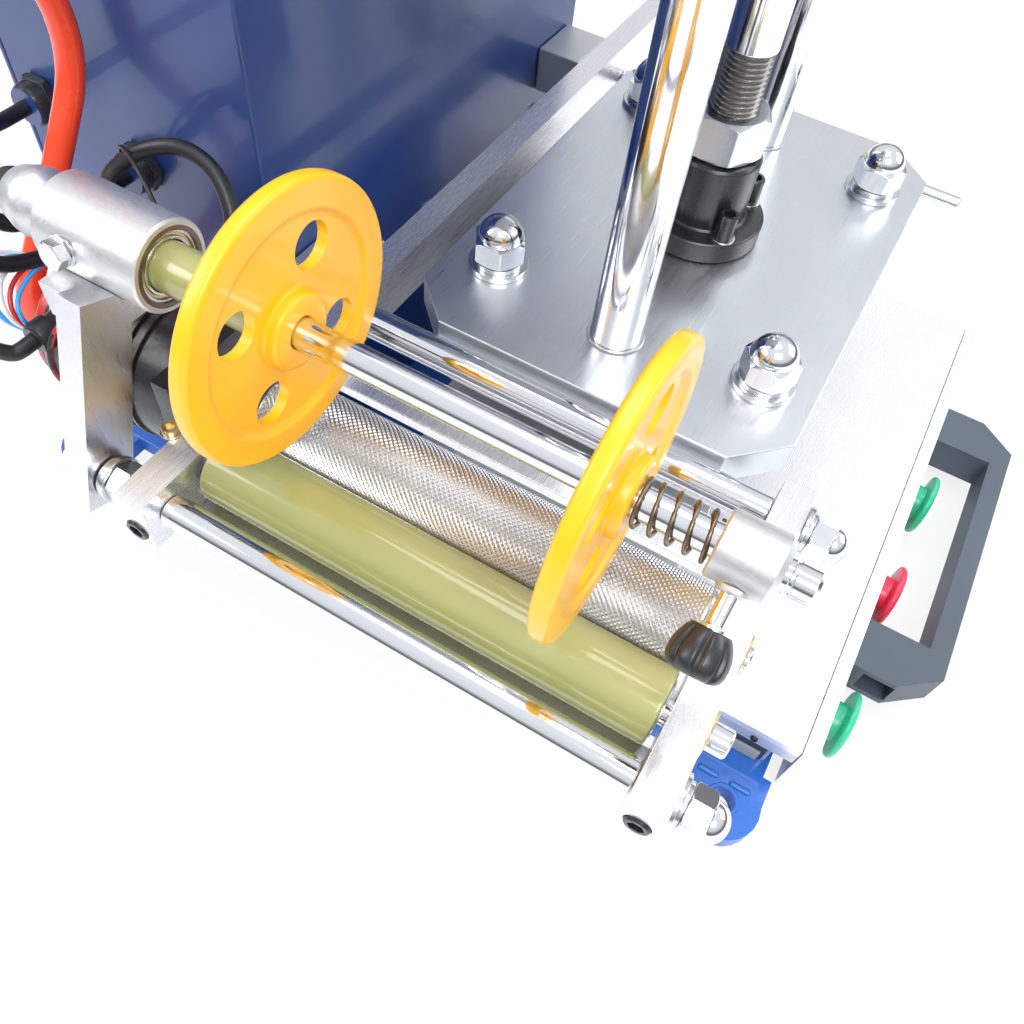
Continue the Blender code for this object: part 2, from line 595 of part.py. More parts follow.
def build_rollers():
    roller("knurled_roller", KNURL_X, KNURL_R, STEEL, 4)
    roller("rubber_roller", RUBBER_X, RUBBER_R, AMBER, 10)
    motor_y = BACK_OUT + 3
    gearbox_l = 30
    flange = MOTOR_R + 1.5
    motor = box("gear_motor", (KNURL_X - flange, motor_y, ARM_CENTRE_Z - flange),
                (KNURL_X + flange, motor_y + gearbox_l * 0.3, ARM_CENTRE_Z + flange - 2), BLACK)
    add(motor, rod("motor_can", (KNURL_X, motor_y + 1, ARM_CENTRE_Z), BACK, MOTOR_R,
                   gearbox_l + MOTOR_L, steps=32))
    add(motor, rod("side_gland", (KNURL_X, *SIDE_GLAND[1:]), LEFT, GLAND_R,
                   KNURL_X - SIDE_GLAND[0] + GLAND_L, steps=20))
    add(motor, rod("top_gland", (TOP_GLAND[0], TOP_GLAND[1], ARM_CENTRE_Z), UP, GLAND_R,
                   TOP_GLAND[2] - ARM_CENTRE_Z, steps=20))
    cover_y = motor_y + gearbox_l + MOTOR_L + 1 + GAP
    turned("motor_cover", (KNURL_X, cover_y, ARM_CENTRE_Z), BACK,
           [(0, 12), (MOTOR_R - 8, 12), (MOTOR_R - 2, 6), (MOTOR_R - 2, 0), (0, 0)], RED, steps=32)


# ---------------------------------------------------------------- rewind reel
def build_disc(name, face_y, x, z, material, parent):
    """Spoked-out plastic disc: raised rim, recessed web with four round holes, hub boss."""
    rim, step, hub = DISC_R, DISC_R - 12, 14.5
    web = 1.4
    bore = SPINDLE_R + DISC_BORE_CLEAR
    profile = [(rim - 1.2, DISC_T), (rim, DISC_T - 1.2), (rim, 1.2), (rim - 1.2, 0), (bore, 0),
               (bore, DISC_T + HUB_PROUD), (hub - 1.5, DISC_T + HUB_PROUD), (hub, DISC_T - web),
               (step - 1.5, DISC_T - web), (step, DISC_T)]
    disc = turned(name, (x, face_y + DISC_T, z), FRONT, profile, material, parent, steps=48, ring=True)
    for quarter in range(4):
        angle = math.radians(58 + 90 * quarter)
        hole_x = x + DISC_HOLE_PITCH_R * math.cos(angle)
        hole_z = z + DISC_HOLE_PITCH_R * math.sin(angle)
        cut(disc, rod(f"{name}_hole_{quarter}", (hole_x, face_y - 10, hole_z), BACK, DISC_HOLE_R,
                      DISC_T + 20, steps=16))
    return disc


def build_rewind():
    axis = (REWIND_X, INNER_FACE_Y, SPINDLE_Z)
    reel = body("rewind_reel", axis)
    spindle_back = HOUSING_Y + HOUSING_L + NECK_L - 8
    spindle_l = spindle_back - SPINDLE_FRONT_Y
    turned("rewind_spindle", (REWIND_X, SPINDLE_FRONT_Y, SPINDLE_Z), BACK,
           [(0, spindle_l), (SPINDLE_R, spindle_l), (SPINDLE_R, 1.2), (SPINDLE_R - 1.2, 0), (0, 0)],
           CHROME, reel, steps=32)
    build_disc("rewind_disc_inner", INNER_FACE_Y, REWIND_X, SPINDLE_Z, YELLOW, reel)
    tube("spindle_sleeve", (REWIND_X, INNER_BACK_Y + GAP, SPINDLE_Z), BACK, SLEEVE_R,
         SPINDLE_R + GAP, HOUSING_GAP + 8, AMBER, reel)

    clamp = body("clamp_collar", (REWIND_X, COLLAR_BACK_Y, SPINDLE_Z))
    clamp.parent = reel
    clamp.matrix_parent_inverse = Matrix.Translation(reel.location).inverted()
    collar = tube("spindle_collar", (REWIND_X, COLLAR_BACK_Y, SPINDLE_Z), FRONT, COLLAR_R,
                  SPINDLE_R + GAP, COLLAR_L, ALUMINIUM, clamp)
    floating = body("outer_disc", (REWIND_X, OUTER_FACE_Y, SPINDLE_Z))
    floating.parent = clamp
    floating.matrix_parent_inverse = Matrix.Translation(clamp.location).inverted()
    build_disc("rewind_disc_outer", OUTER_FACE_Y, REWIND_X, SPINDLE_Z, YELLOW, floating)
    build_spring(clamp)
    build_knob(collar, clamp)


def build_spring(clamp):
    """Compression spring between the outer disc's hub and the clamp collar."""
    coil, per_turn = [], 10
    length = SPRING_L - 2 * SPRING_WIRE_R
    for step in range(SPRING_TURNS * per_turn + 1):
        angle = 2 * math.pi * step / per_turn
        y = SPRING_BACK_Y - SPRING_WIRE_R - length * step / (SPRING_TURNS * per_turn)
        coil.append((REWIND_X + SPRING_R * math.cos(angle), y, SPINDLE_Z + SPRING_R * math.sin(angle)))
    wire("spindle_spring", coil, SPRING_WIRE_R, BLACK, clamp)


def build_knob(collar, clamp):
    """Clamp screw with a fluted cap, pointing out and down from the collar."""
    out = Vector((-0.85, 0, -0.53)).normalized()
    start = Vector((REWIND_X, COLLAR_BACK_Y - COLLAR_L / 2, SPINDLE_Z))
    seat = SPINDLE_R + 1
    stem_r, cap_r, cap_at, cap_l = 3.2, 10.5, 24.5, 17
    cut(collar, rod("clamp_screw_hole", start, out, stem_r + GAP, COLLAR_R + 5, steps=20))
    profile = [(0, cap_at + cap_l), (cap_r - 4, cap_at + cap_l), (cap_r, cap_at + cap_l - 5),
               (cap_r - 2, cap_at + 2), (cap_r - 4, cap_at), (stem_r, cap_at), (stem_r, seat), (0, seat)]
    turned("clamp_knob", start, out, profile, BLACK, clamp, steps=16)


# ---------------------------------------------------------------- bearing and its bracket
def build_bearing():
    at = (REWIND_X, HOUSING_Y, SPINDLE_Z)
    end, tip = HOUSING_L, HOUSING_L + NECK_L
    profile = [(HOUSING_R - 7.5, tip), (HOUSING_R - 4.5, end + 13), (HOUSING_R - 7.5, end + 7),
               (HOUSING_R - 5.5, end), (HOUSING_R - 1, end), (HOUSING_R, end - 1), (HOUSING_R, 1),
               (HOUSING_R - 1, 0), (BEARING_R, 0), (BEARING_R, 13), (SPINDLE_R + 2, 13),
               (SPINDLE_R + 2, tip)]
    turned("bearing_housing", at, BACK, profile, ALUMINIUM, ring=True)
    tube("housing_bearing", (REWIND_X, HOUSING_Y + 1, SPINDLE_Z), BACK, BEARING_R - GAP,
         SLEEVE_R + GAP, 9, STEEL)
    top = Vector((REWIND_X - HOUSING_R - 4, 0, SPINDLE_Z - 10))
    lean = top - Vector((TIE_ROD_X, 0, ARM_CENTRE_Z))
    below, above = 14, 4
    bar_l = lean.length + above + below
    bracket = box("bearing_bracket", (-BRACKET_W / 2, 0, 0), (BRACKET_W / 2, BRACKET_T, bar_l), STEEL)
    bracket.rotation_euler = (0, math.atan2(lean.x, lean.z), 0)
    centre = Vector((TIE_ROD_X, BRACKET_Y + BRACKET_T / 2, ARM_CENTRE_Z))
    bracket.location = metres(centre + lean.normalized() * (bar_l / 2 - below))
    add(bracket, box("bracket_foot", (top.x - 5, BRACKET_Y + 0.5, top.z - 14),
                     (REWIND_X - 4, BRACKET_Y + 28, top.z + 2)))
    cut(bracket, rod("housing_clearance", (REWIND_X, BRACKET_Y - 60, SPINDLE_Z), BACK, HOUSING_R + GAP,
                     200, steps=48))
    cut(bracket, rod("bracket_bore", (TIE_ROD_X, BRACKET_Y - 10, ARM_CENTRE_Z), BACK, 5 + GAP, 40,
                     steps=24))
    bolt_y = BACK_OUT + GAP
    bolt = rod("bracket_bolt", (TIE_ROD_X, bolt_y, ARM_CENTRE_Z), BACK, 5,
               BRACKET_OFF + BRACKET_T + 6, STEEL, steps=24)
    add(bolt, hexagon("bracket_bolt_head", (TIE_ROD_X, BRACKET_Y + BRACKET_T + GAP, ARM_CENTRE_Z), BACK,
                      17, 7))
    add(bolt, hexagon("bracket_bolt_nut", (TIE_ROD_X, bolt_y + 3, ARM_CENTRE_Z), BACK, 17, 9))
    add(bolt, rod("bracket_bolt_washers", (TIE_ROD_X, bolt_y + 11, ARM_CENTRE_Z), BACK, 10.5,
                  BRACKET_OFF - 11 - 2 * GAP, steps=32))
    turned("housing_end_knob", (REWIND_X, HOUSING_Y + tip + GAP, SPINDLE_Z), BACK,
           [(0, 8.5), (6.2, 8.5), (8.2, 6.5), (8.2, 2), (6.2, 0), (0, 0)], BLACK, steps=24)


# ---------------------------------------------------------------- supply reel
def build_supply():
    """Film supply spindle with two discs, held by the upright on the back arm."""
    reel = body("supply_reel", (SUPPLY_X, ARM_MID_Y, SUPPLY_Z))
    rod("supply_spindle", (SUPPLY_X, SUPPLY_FRONT_Y, SUPPLY_Z), BACK, SPINDLE_R,
        BACK_OUT + 12 - SUPPLY_FRONT_Y, CHROME, reel, chamfer=1)
    for name, face_y in (("supply_disc_front", OUTER_BACK_Y), ("supply_disc_rear", INNER_FACE_Y)):
        facing = FRONT if name.endswith("front") else BACK
        bore = SPINDLE_R + DISC_BORE_CLEAR
        profile = [(14, 16), (14, DISC_T - 2), (DISC_R - 1, DISC_T - 2), (DISC_R, DISC_T - 3),
                   (DISC_R, 1), (DISC_R - 1, 0), (bore, 0), (bore, 16)]
        turned(name, (SUPPLY_X, face_y, SUPPLY_Z), facing, profile, YELLOW, reel, steps=40, ring=True)


# ---------------------------------------------------------------- hose and cables
HOSE_R = 6
CABLE_R = 3.5
GLAND_R = 6
GLAND_L = 7
PORT_FACE_X = -TOWER_HALF_X - PORT_L - GAP
SIDE_GLAND = (KNURL_X - MOTOR_R + 1, BACK_OUT + 74.5, ARM_CENTRE_Z + 26)
TOP_GLAND = (KNURL_X + 28, BACK_OUT + 21.5, ARM_CENTRE_Z + MOTOR_R + GLAND_L)
HOSE_ROUTE = [(PORT_FACE_X, *HOSE_HIGH), (-186, *HOSE_HIGH), (-200, 243, 387), (-203, 242, 362),
              (-193, 240, 332), (-180, 239, 304), (-173, 239, 278), (-176, 240, 254), (-189, 242, 231),
              (-204, 244, 209), (-219, 246, 188), (-230, 250, 166), (-229, 256, 143),
              (-214, 261, 124), (-188, *HOSE_LOW), (PORT_FACE_X, *HOSE_LOW)]
CABLE_ROUTE = [(PORT_FACE_X, *CABLE_HIGH), (-184, *CABLE_HIGH), (-207, 274, 230), (-230, 250, 246),
               (-246, 235, 253), (-250, 227, 240), (-238, 223, 224), (-221, 223, 221),
               (-214, 221, 212), (-224, 219, 204), (-247, 218, 212), (-264, 218, 224),
               (-277, 218, 225), (-283, 217, 213), (-281, 212, 199), (-273, 205, 189),
               (SIDE_GLAND[0] - GLAND_L - 6, *SIDE_GLAND[1:]),
               (SIDE_GLAND[0] - GLAND_L - GAP, *SIDE_GLAND[1:])]
ARCH_ROUTE = [(PORT_FACE_X, *CABLE_LOW), (-177, *CABLE_LOW), (-187, 226, 212), (-189, 214, 226),
              (-184, 198, 239), (-178, 181, 244), (-177, 166, 239), (-183, 154, 227),
              (TOP_GLAND[0], TOP_GLAND[1], TOP_GLAND[2] + 8),
              (TOP_GLAND[0], TOP_GLAND[1], TOP_GLAND[2] + GAP)]


def build_cords():
    wire("air_hose", smooth_route(HOSE_ROUTE, 32), HOSE_R, ORANGE)
    wire("motor_cable", smooth_route(CABLE_ROUTE, 48), CABLE_R, BLACK)
    wire("sensor_cable", smooth_route(ARCH_ROUTE, 22), CABLE_R, BLACK)


build_base()
build_drawer()
build_tower()
build_bridge()
build_press()
build_arms()
build_rollers()
build_rewind()
build_bearing()
build_supply()
build_cords()

for piece in PARTS.objects:
    if piece.type == "MESH":
        piece.data.shade_smooth()
        piece.data.set_sharp_from_angle(angle=math.radians(35))
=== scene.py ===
"""Looks of the cup sealing machine: camera, light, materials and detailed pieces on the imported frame."""
import math

import bmesh
import bpy
from mathutils import Matrix, Vector


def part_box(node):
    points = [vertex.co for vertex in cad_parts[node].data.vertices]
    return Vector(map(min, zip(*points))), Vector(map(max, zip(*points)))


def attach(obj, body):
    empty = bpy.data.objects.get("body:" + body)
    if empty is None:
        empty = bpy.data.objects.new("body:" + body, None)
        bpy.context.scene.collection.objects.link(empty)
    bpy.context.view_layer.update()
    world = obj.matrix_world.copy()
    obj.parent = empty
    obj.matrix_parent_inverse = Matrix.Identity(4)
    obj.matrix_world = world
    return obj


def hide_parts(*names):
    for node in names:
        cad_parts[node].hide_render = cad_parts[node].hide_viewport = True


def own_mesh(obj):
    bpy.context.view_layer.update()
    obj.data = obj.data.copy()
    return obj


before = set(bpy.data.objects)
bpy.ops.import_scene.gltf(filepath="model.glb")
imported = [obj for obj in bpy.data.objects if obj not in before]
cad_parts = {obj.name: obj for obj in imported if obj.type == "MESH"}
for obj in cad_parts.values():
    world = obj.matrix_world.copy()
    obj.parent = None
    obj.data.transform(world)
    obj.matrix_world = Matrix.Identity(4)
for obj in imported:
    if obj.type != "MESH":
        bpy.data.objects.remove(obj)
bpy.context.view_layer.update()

MM = 0.001
UP = Vector((0, 0, 1))
DOWN = Vector((0, 0, -1))
FRONT = Vector((0, -1, 0))
BACK = Vector((0, 1, 0))
LEFT = Vector((-1, 0, 0))
RIGHT = Vector((1, 0, 0))

PIECES = []
SQUASHED = []                  # pieces kept with their axis and end faces, each given its own mesh at the end
TOWER_SIDE_X = -158            # the cabinet's side with the glands
FITTINGS = ((244, 400), (262, 117), (290, 218), (232, 205))    # Y and Z of each gland there
MOTOR_TOP_GLAND = (-192.5, 150, 204)
MOTOR_SIDE_GLAND = (-261.5, 203, 188)
ARM_BOLT_Z = 162
ARM_SCREW_Z = 157
COLUMN_R = 12.5
FLOOR_HALF = 4                 # metres
SIGNS = ((-1, -1), (-1, 1), (1, -1), (1, 1))


def mm(*values):
    """A point in metres from millimetres."""
    return Vector(values) * MM


def span(node):
    """Low and high corner of a CAD node, in millimetres."""
    low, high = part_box(node)
    return low / MM, high / MM


def centre(node):
    low, high = span(node)
    return (low + high) / 2


def foot(node, lift=0):
    """Middle of a node's underside, moved up by lift."""
    middle = centre(node)
    return (middle.x, middle.y, span(node)[0].z + lift)


def length_y(node):
    low, high = span(node)
    return high.y - low.y


# ---------------------------------------------------------------- camera, floor and light
def build_camera():
    data = bpy.data.cameras.new("camera")
    camera = bpy.data.objects.new("camera", data)
    bpy.context.scene.collection.objects.link(camera)
    forward = Vector((0.5268, 0.2232, -0.8201)).normalized()
    right = Vector((0.496, -0.8643, 0.0834))
    right = (right - forward * right.dot(forward)).normalized()
    up = right.cross(forward)
    turn = Matrix((right, up, -forward)).transposed()
    camera.matrix_world = Matrix.Translation(mm(-407.8, -89.6, 470.2)) @ turn.to_4x4()
    data.lens = 30.8
    data.sensor_width = 36
    data.clip_start = 0.02
    bpy.context.scene.camera = camera


def build_floor():
    mesh = bpy.data.meshes.new("floor")
    corners = ((-1, -1), (1, -1), (1, 1), (-1, 1))
    mesh.from_pydata([(x * FLOOR_HALF, y * FLOOR_HALF, 0) for x, y in corners], [], [(0, 1, 2, 3)])
    floor = bpy.data.objects.new("floor", mesh)
    bpy.context.scene.collection.objects.link(floor)
    material = bpy.data.materials.new("studio_floor")
    material.use_nodes = True
    nodes, links = material.node_tree.nodes, material.node_tree.links
    nodes.clear()
    output = nodes.new("ShaderNodeOutputMaterial")
    mix = nodes.new("ShaderNodeMixShader")
    diffuse = nodes.new("ShaderNodeBsdfDiffuse")
    diffuse.inputs["Color"].default_value = (0.86, 0.87, 0.88, 1)
    glow = nodes.new("ShaderNodeEmission")
    path = nodes.new("ShaderNodeLightPath")
    share = nodes.new("ShaderNodeMath")
    share.operation = "MULTIPLY"
    share.inputs[1].default_value = 0.8
    links.new(path.outputs["Is Camera Ray"], share.inputs[0])
    links.new(share.outputs[0], mix.inputs[0])
    links.new(diffuse.outputs[0], mix.inputs[1])
    links.new(glow.outputs[0], mix.inputs[2])
    links.new(mix.outputs[0], output.inputs[0])
    mesh.materials.append(material)


def area_light(name, at, target, size, power, colour=(1, 1, 1)):
    data = bpy.data.lights.new(name, "AREA")
    data.shape = "RECTANGLE"
    data.size, data.size_y = size
    data.energy = power
    data.color = colour
    lamp = bpy.data.objects.new(name, data)
    lamp.location = at
    lamp.rotation_euler = (Vector(target) - Vector(at)).to_track_quat("-Z", "Y").to_euler()
    bpy.context.scene.collection.objects.link(lamp)


def build_light():
    world = bpy.data.worlds.new("studio")
    bpy.context.scene.world = world
    world.use_nodes = True
    nodes, links = world.node_tree.nodes, world.node_tree.links
    nodes.clear()
    output = nodes.new("ShaderNodeOutputWorld")
    background = nodes.new("ShaderNodeBackground")
    where = nodes.new("ShaderNodeTexCoord")
    split = nodes.new("ShaderNodeSeparateXYZ")
    ramp = nodes.new("ShaderNodeValToRGB")
    stops = ((0.0, 0.8), (0.42, 0.6), (0.5, 0.14), (0.6, 0.3), (0.7, 0.82), (1.0, 1.0))
    while len(ramp.color_ramp.elements) < len(stops):
        ramp.color_ramp.elements.new(0.5)
    for element, (position, level) in zip(ramp.color_ramp.elements, stops):
        element.position = position
        element.color = (level * 0.97, level, level * 1.04, 1)
    half = nodes.new("ShaderNodeMath")
    half.operation = "MULTIPLY_ADD"
    half.inputs[1].default_value = 0.5
    half.inputs[2].default_value = 0.5
    path = nodes.new("ShaderNodeLightPath")
    mix = nodes.new("ShaderNodeMix")
    mix.data_type = "RGBA"
    mix.inputs["B"].default_value = (1, 1, 1, 1)
    links.new(where.outputs["Generated"], split.inputs[0])
    links.new(split.outputs["Z"], half.inputs[0])
    links.new(half.outputs[0], ramp.inputs[0])
    links.new(path.outputs["Is Camera Ray"], mix.inputs["Factor"])
    links.new(ramp.outputs[0], mix.inputs["A"])
    links.new(mix.outputs["Result"], background.inputs["Color"])
    links.new(background.outputs[0], output.inputs[0])
    area_light("key", (-1.1, -0.7, 1.7), (-0.1, 0, 0.15), (1.0, 0.8), 21)
    area_light("fill", (0.9, -1.3, 1.1), (0, 0, 0.15), (1.2, 0.9), 12, (0.97, 0.98, 1))
    area_light("back", (-0.9, 1.3, 1.2), (-0.1, 0.1, 0.2), (0.9, 0.7), 11)
    area_light("top", (0.2, 0.2, 1.9), (0, 0, 0.1), (0.9, 0.9), 11)


build_camera()
build_floor()
build_light()
bpy.context.scene.view_settings.view_transform = "Standard"


# ---------------------------------------------------------------- materials
class Surface:
    """A Principled material with procedural colour, roughness and bump."""

    def __init__(self, name, colour, roughness, metallic=0.0, coat=0.0, specular=0.5):
        self.material = bpy.data.materials.new(name)
        self.material.use_nodes = True
        self.nodes = self.material.node_tree.nodes
        self.links = self.material.node_tree.links
        self.shader = self.nodes["Principled BSDF"]
        self.colour = (*colour, 1)
        inputs = self.shader.inputs
        inputs["Base Color"].default_value = self.colour
        inputs["Roughness"].default_value = roughness
        inputs["Metallic"].default_value = metallic
        inputs["Coat Weight"].default_value = coat
        inputs["Coat Roughness"].default_value = 0.08
        inputs["Specular IOR Level"].default_value = specular
        self.normal = None

    def noise(self, scale, stretch=(1, 1, 1), detail=4.0):
        where = self.nodes.new("ShaderNodeTexCoord")
        mapping = self.nodes.new("ShaderNodeMapping")
        mapping.inputs["Scale"].default_value = stretch
        texture = self.nodes.new("ShaderNodeTexNoise")
        texture.inputs["Scale"].default_value = scale
        texture.inputs["Detail"].default_value = detail
        texture.inputs["Roughness"].default_value = 0.55
        self.links.new(where.outputs["Object"], mapping.inputs[0])
        self.links.new(mapping.outputs[0], texture.inputs["Vector"])
        return texture.outputs["Fac"]

    def ramp(self, value, low, high, start, end):
        """A colour or grey ramp from low to high between two levels of value."""
        node = self.nodes.new("ShaderNodeValToRGB")
        node.color_ramp.elements[0].position = start
        node.color_ramp.elements[1].position = end
        node.color_ramp.elements[0].color = low
        node.color_ramp.elements[1].color = high
        self.links.new(value, node.inputs[0])
        return node.outputs[0]

    def tint(self, value, amount):
        """Base colour from darker to lighter by amount, following value."""
        low = tuple(c * (1 - amount) for c in self.colour[:3]) + (1,)
        high = tuple(min(1, c * (1 + amount)) for c in self.colour[:3]) + (1,)
        self.links.new(self.ramp(value, low, high, 0.35, 0.65), self.shader.inputs["Base Color"])
        return self

    def blend(self, value, other, start, end):
        """Base colour from this one's to another, following value."""
        self.links.new(self.ramp(value, self.colour, (*other, 1), start, end),
                       self.shader.inputs["Base Color"])
        return self

    def gloss(self, value, low, high):
        """Roughness between two levels, following value."""
        self.links.new(self.ramp(value, (low,) * 3 + (1,), (high,) * 3 + (1,), 0.3, 0.7),
                       self.shader.inputs["Roughness"])
        return self

    def bump(self, value, depth_mm, strength=1.0):
        node = self.nodes.new("ShaderNodeBump")
        node.inputs["Strength"].default_value = strength
        node.inputs["Distance"].default_value = depth_mm * MM
        self.links.new(value, node.inputs["Height"])
        if self.normal is not None:
            self.links.new(self.normal, node.inputs["Normal"])
        self.normal = node.outputs[0]
        self.links.new(self.normal, self.shader.inputs["Normal"])
        return self


def brushed(name, colour, roughness, stretch, tone=0.06, depth=0.012):
    """Metal with fine scratches along one axis and cloudy tone."""
    surface = Surface(name, colour, roughness, metallic=1.0)
    lines = surface.noise(2400, stretch, detail=2)
    cloud = surface.noise(9, detail=5)
    surface.tint(cloud, tone)
    surface.gloss(lines, roughness * 0.8, roughness * 1.25)
    surface.bump(lines, depth, 0.3)
    return surface.material


def painted(name, colour, roughness, grain, depth, tone=0.05, coat=0.25):
    """Paint or moulded plastic with an orange-peel grain and slight tone."""
    surface = Surface(name, colour, roughness, coat=coat)
    surface.tint(surface.noise(14, detail=4), tone)
    grain_value = surface.noise(grain, detail=2)
    surface.gloss(grain_value, roughness * 0.85, roughness * 1.2)
    surface.bump(grain_value, depth, 0.4)
    return surface.material


PLATE = brushed("plate_steel", (0.76, 0.78, 0.81), 0.33, (0.02, 1, 1), tone=0.05, depth=0.006)
BRIGHT = brushed("bright_steel", (0.86, 0.86, 0.88), 0.26, (0.02, 1, 1), tone=0.03, depth=0.006)
CROSS = brushed("cross_brushed_steel", (0.72, 0.72, 0.74), 0.32, (1, 1, 0.02), tone=0.04, depth=0.005)
CHROME = brushed("polished_rod", (0.8, 0.81, 0.84), 0.09, (1, 1, 0.03), tone=0.03, depth=0.002)
TURNED = brushed("turned_aluminium", (0.66, 0.66, 0.67), 0.34, (1, 1, 14), tone=0.05, depth=0.01)
CAST = painted("satin_aluminium", (0.66, 0.67, 0.68), 0.42, 900, 0.03, tone=0.04, coat=0.0)
ZINC = brushed("zinc_plate", (0.66, 0.68, 0.7), 0.22, (1, 1, 0.2), tone=0.1, depth=0.005)
KNURL_STEEL = brushed("knurled_steel", (0.62, 0.62, 0.62), 0.3, (1, 1, 1), tone=0.08, depth=0.004)
BLACK = painted("black_oxide", (0.02, 0.02, 0.022), 0.3, 700, 0.02, tone=0.3, coat=0.1)
BLUE = painted("blue_powder_coat", (0.012, 0.045, 0.2), 0.34, 1100, 0.05, tone=0.12, coat=0.3)
BASE_BLUE = painted("blue_casting", (0.02, 0.13, 0.52), 0.32, 420, 0.12, tone=0.1, coat=0.25)
YELLOW = painted("yellow_plastic", (1.0, 0.49, 0.006), 0.34, 900, 0.006, tone=0.008, coat=0.25)
SLATE = painted("slate_plastic", (0.075, 0.095, 0.125), 0.46, 1500, 0.06, tone=0.08, coat=0.0)
GREEN = painted("green_button_plastic", (0.025, 0.48, 0.25), 0.33, 600, 0.01, tone=0.05)
RED = painted("red_button_plastic", (0.82, 0.035, 0.08), 0.33, 600, 0.01, tone=0.05)
MOTOR_RED = painted("red_cover", (0.55, 0.015, 0.015), 0.35, 600, 0.02, tone=0.08)
ORANGE = painted("orange_hose", (0.98, 0.07, 0.02), 0.3, 300, 0.01, tone=0.06, coat=0.4)
RUBBER = painted("black_rubber", (0.012, 0.012, 0.013), 0.42, 800, 0.02, tone=0.2, coat=0.05)
WHITE_WIRE = painted("white_wire", (0.85, 0.86, 0.88), 0.35, 600, 0.01)
BLUE_WIRE = painted("blue_wire", (0.05, 0.35, 0.8), 0.35, 600, 0.01)
GREY = painted("grey_strip", (0.33, 0.35, 0.38), 0.5, 900, 0.03, coat=0.0)
DARK_STEEL = brushed("dark_thread", (0.3, 0.29, 0.28), 0.3, (1, 1, 1), tone=0.15)
TABLE = brushed("table_steel", (0.9, 0.9, 0.91), 0.3, (0.02, 1, 1), tone=0.02, depth=0.003)
PAINTED_STEEL = painted("light_steel", (0.72, 0.73, 0.75), 0.4, 700, 0.02, tone=0.04, coat=0.1)
BRASS = brushed("brass", (0.72, 0.55, 0.28), 0.3, (1, 1, 1), tone=0.1)
BRONZE = brushed("dark_spring_wire", (0.2, 0.16, 0.13), 0.32, (1, 1, 1), tone=0.2)

for soft_metal, share in ((CAST, 0.85), (TABLE, 0.72), (BRIGHT, 0.88)):
    soft_metal.node_tree.nodes["Principled BSDF"].inputs["Metallic"].default_value = share


def build_amber():
    """Polyurethane: clear olive with faint lengthwise bands and a soft depth."""
    surface = Surface("olive_polyurethane", (0.29, 0.3, 0.1), 0.2, coat=0.5)
    bands = surface.noise(16, (1, 1, 0.12), detail=3)
    surface.blend(bands, (0.42, 0.42, 0.18), 0.38, 0.66)
    surface.gloss(surface.noise(240, detail=2), 0.12, 0.22)
    surface.bump(surface.noise(60, detail=2), 0.05, 0.25)
    surface.shader.inputs["Subsurface Weight"].default_value = 0.25
    surface.shader.inputs["Subsurface Radius"].default_value = (0.5, 0.5, 0.2)
    surface.shader.inputs["Subsurface Scale"].default_value = 0.004
    return surface.material


AMBER = build_amber()


# ---------------------------------------------------------------- piece helpers
def link(name, data, material, body, stands_for=()):
    """Adds a mesh or curve as a piece that rides on a body, with its material and slot."""
    obj = bpy.data.objects.new(name, data)
    bpy.context.scene.collection.objects.link(obj)
    data.materials.clear()
    data.materials.append(material)
    obj["body_name"] = body
    if stands_for:
        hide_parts(*stands_for)
    PIECES.append(obj)
    return obj


def round_edges(obj, width, angle=32, segments=2):
    """Bevels the sharp edges by width millimetres and keeps flat faces flat in shading."""
    if width:
        bevel = obj.modifiers.new("edges", "BEVEL")
        bevel.width = width * MM
        bevel.segments = segments
        bevel.limit_method = "ANGLE"
        bevel.angle_limit = math.radians(angle)
        bevel.use_clamp_overlap = True
    for polygon in obj.data.polygons:
        polygon.use_smooth = True
    normals = obj.modifiers.new("normals", "WEIGHTED_NORMAL")
    normals.keep_sharp = True
    if not width:
        obj.data.set_sharp_from_angle(angle=math.radians(angle))
    return obj


def aim(at, direction):
    """Matrix that puts local Z along direction at a point in millimetres."""
    turn = UP.rotation_difference(Vector(direction).normalized()).to_matrix().to_4x4()
    return Matrix.Translation(mm(*at)) @ turn


def rings_mesh(name, rings, loop=False):
    """A mesh from rings of equal length in millimetres, with closed ends or joined into a tube."""
    vertices = [tuple(c * MM for c in point) for ring in rings for point in ring]
    count = len(rings[0])
    faces = []
    pairs = list(zip(range(len(rings) - 1), range(1, len(rings))))
    if loop:
        pairs.append((len(rings) - 1, 0))
    for a, b in pairs:
        for i in range(count):
            j = (i + 1) % count
            faces.append((a * count + i, a * count + j, b * count + j, b * count + i))
    if not loop:
        faces.append(tuple(reversed(range(count))))
        faces.append(tuple(range((len(rings) - 1) * count, len(rings) * count)))
    mesh = bpy.data.meshes.new(name)
    mesh.from_pydata(vertices, [], faces)
    shape = bmesh.new()
    shape.from_mesh(mesh)
    bmesh.ops.remove_doubles(shape, verts=shape.verts, dist=1e-7)
    bmesh.ops.recalc_face_normals(shape, faces=shape.faces)
    shape.to_mesh(mesh)
    shape.free()
    return mesh


def polar_ring(radius_at, height, steps):
    """A ring whose radius is a function of the step and the angle."""
    ring = []
    for step in range(steps):
        angle = 2 * math.pi * step / steps
        radius = radius_at(step, angle)
        ring.append((radius * math.cos(angle), radius * math.sin(angle), height))
    return ring


def circle(radius, height, steps):
    return polar_ring(lambda step, angle: radius, height, steps)


def lathe(name, at, direction, profile, material, body, stands_for=(), steps=72, edge=0.4,
          loop=False):
    """A turned piece from a profile of (radius, height) in millimetres; loop closes a tube."""
    rings = [circle(max(r, 0.01), h, steps) for r, h in profile]
    obj = link(name, rings_mesh(name, rings, loop=loop), material, body, stands_for)
    obj.matrix_world = aim(at, direction)
    return round_edges(obj, edge)


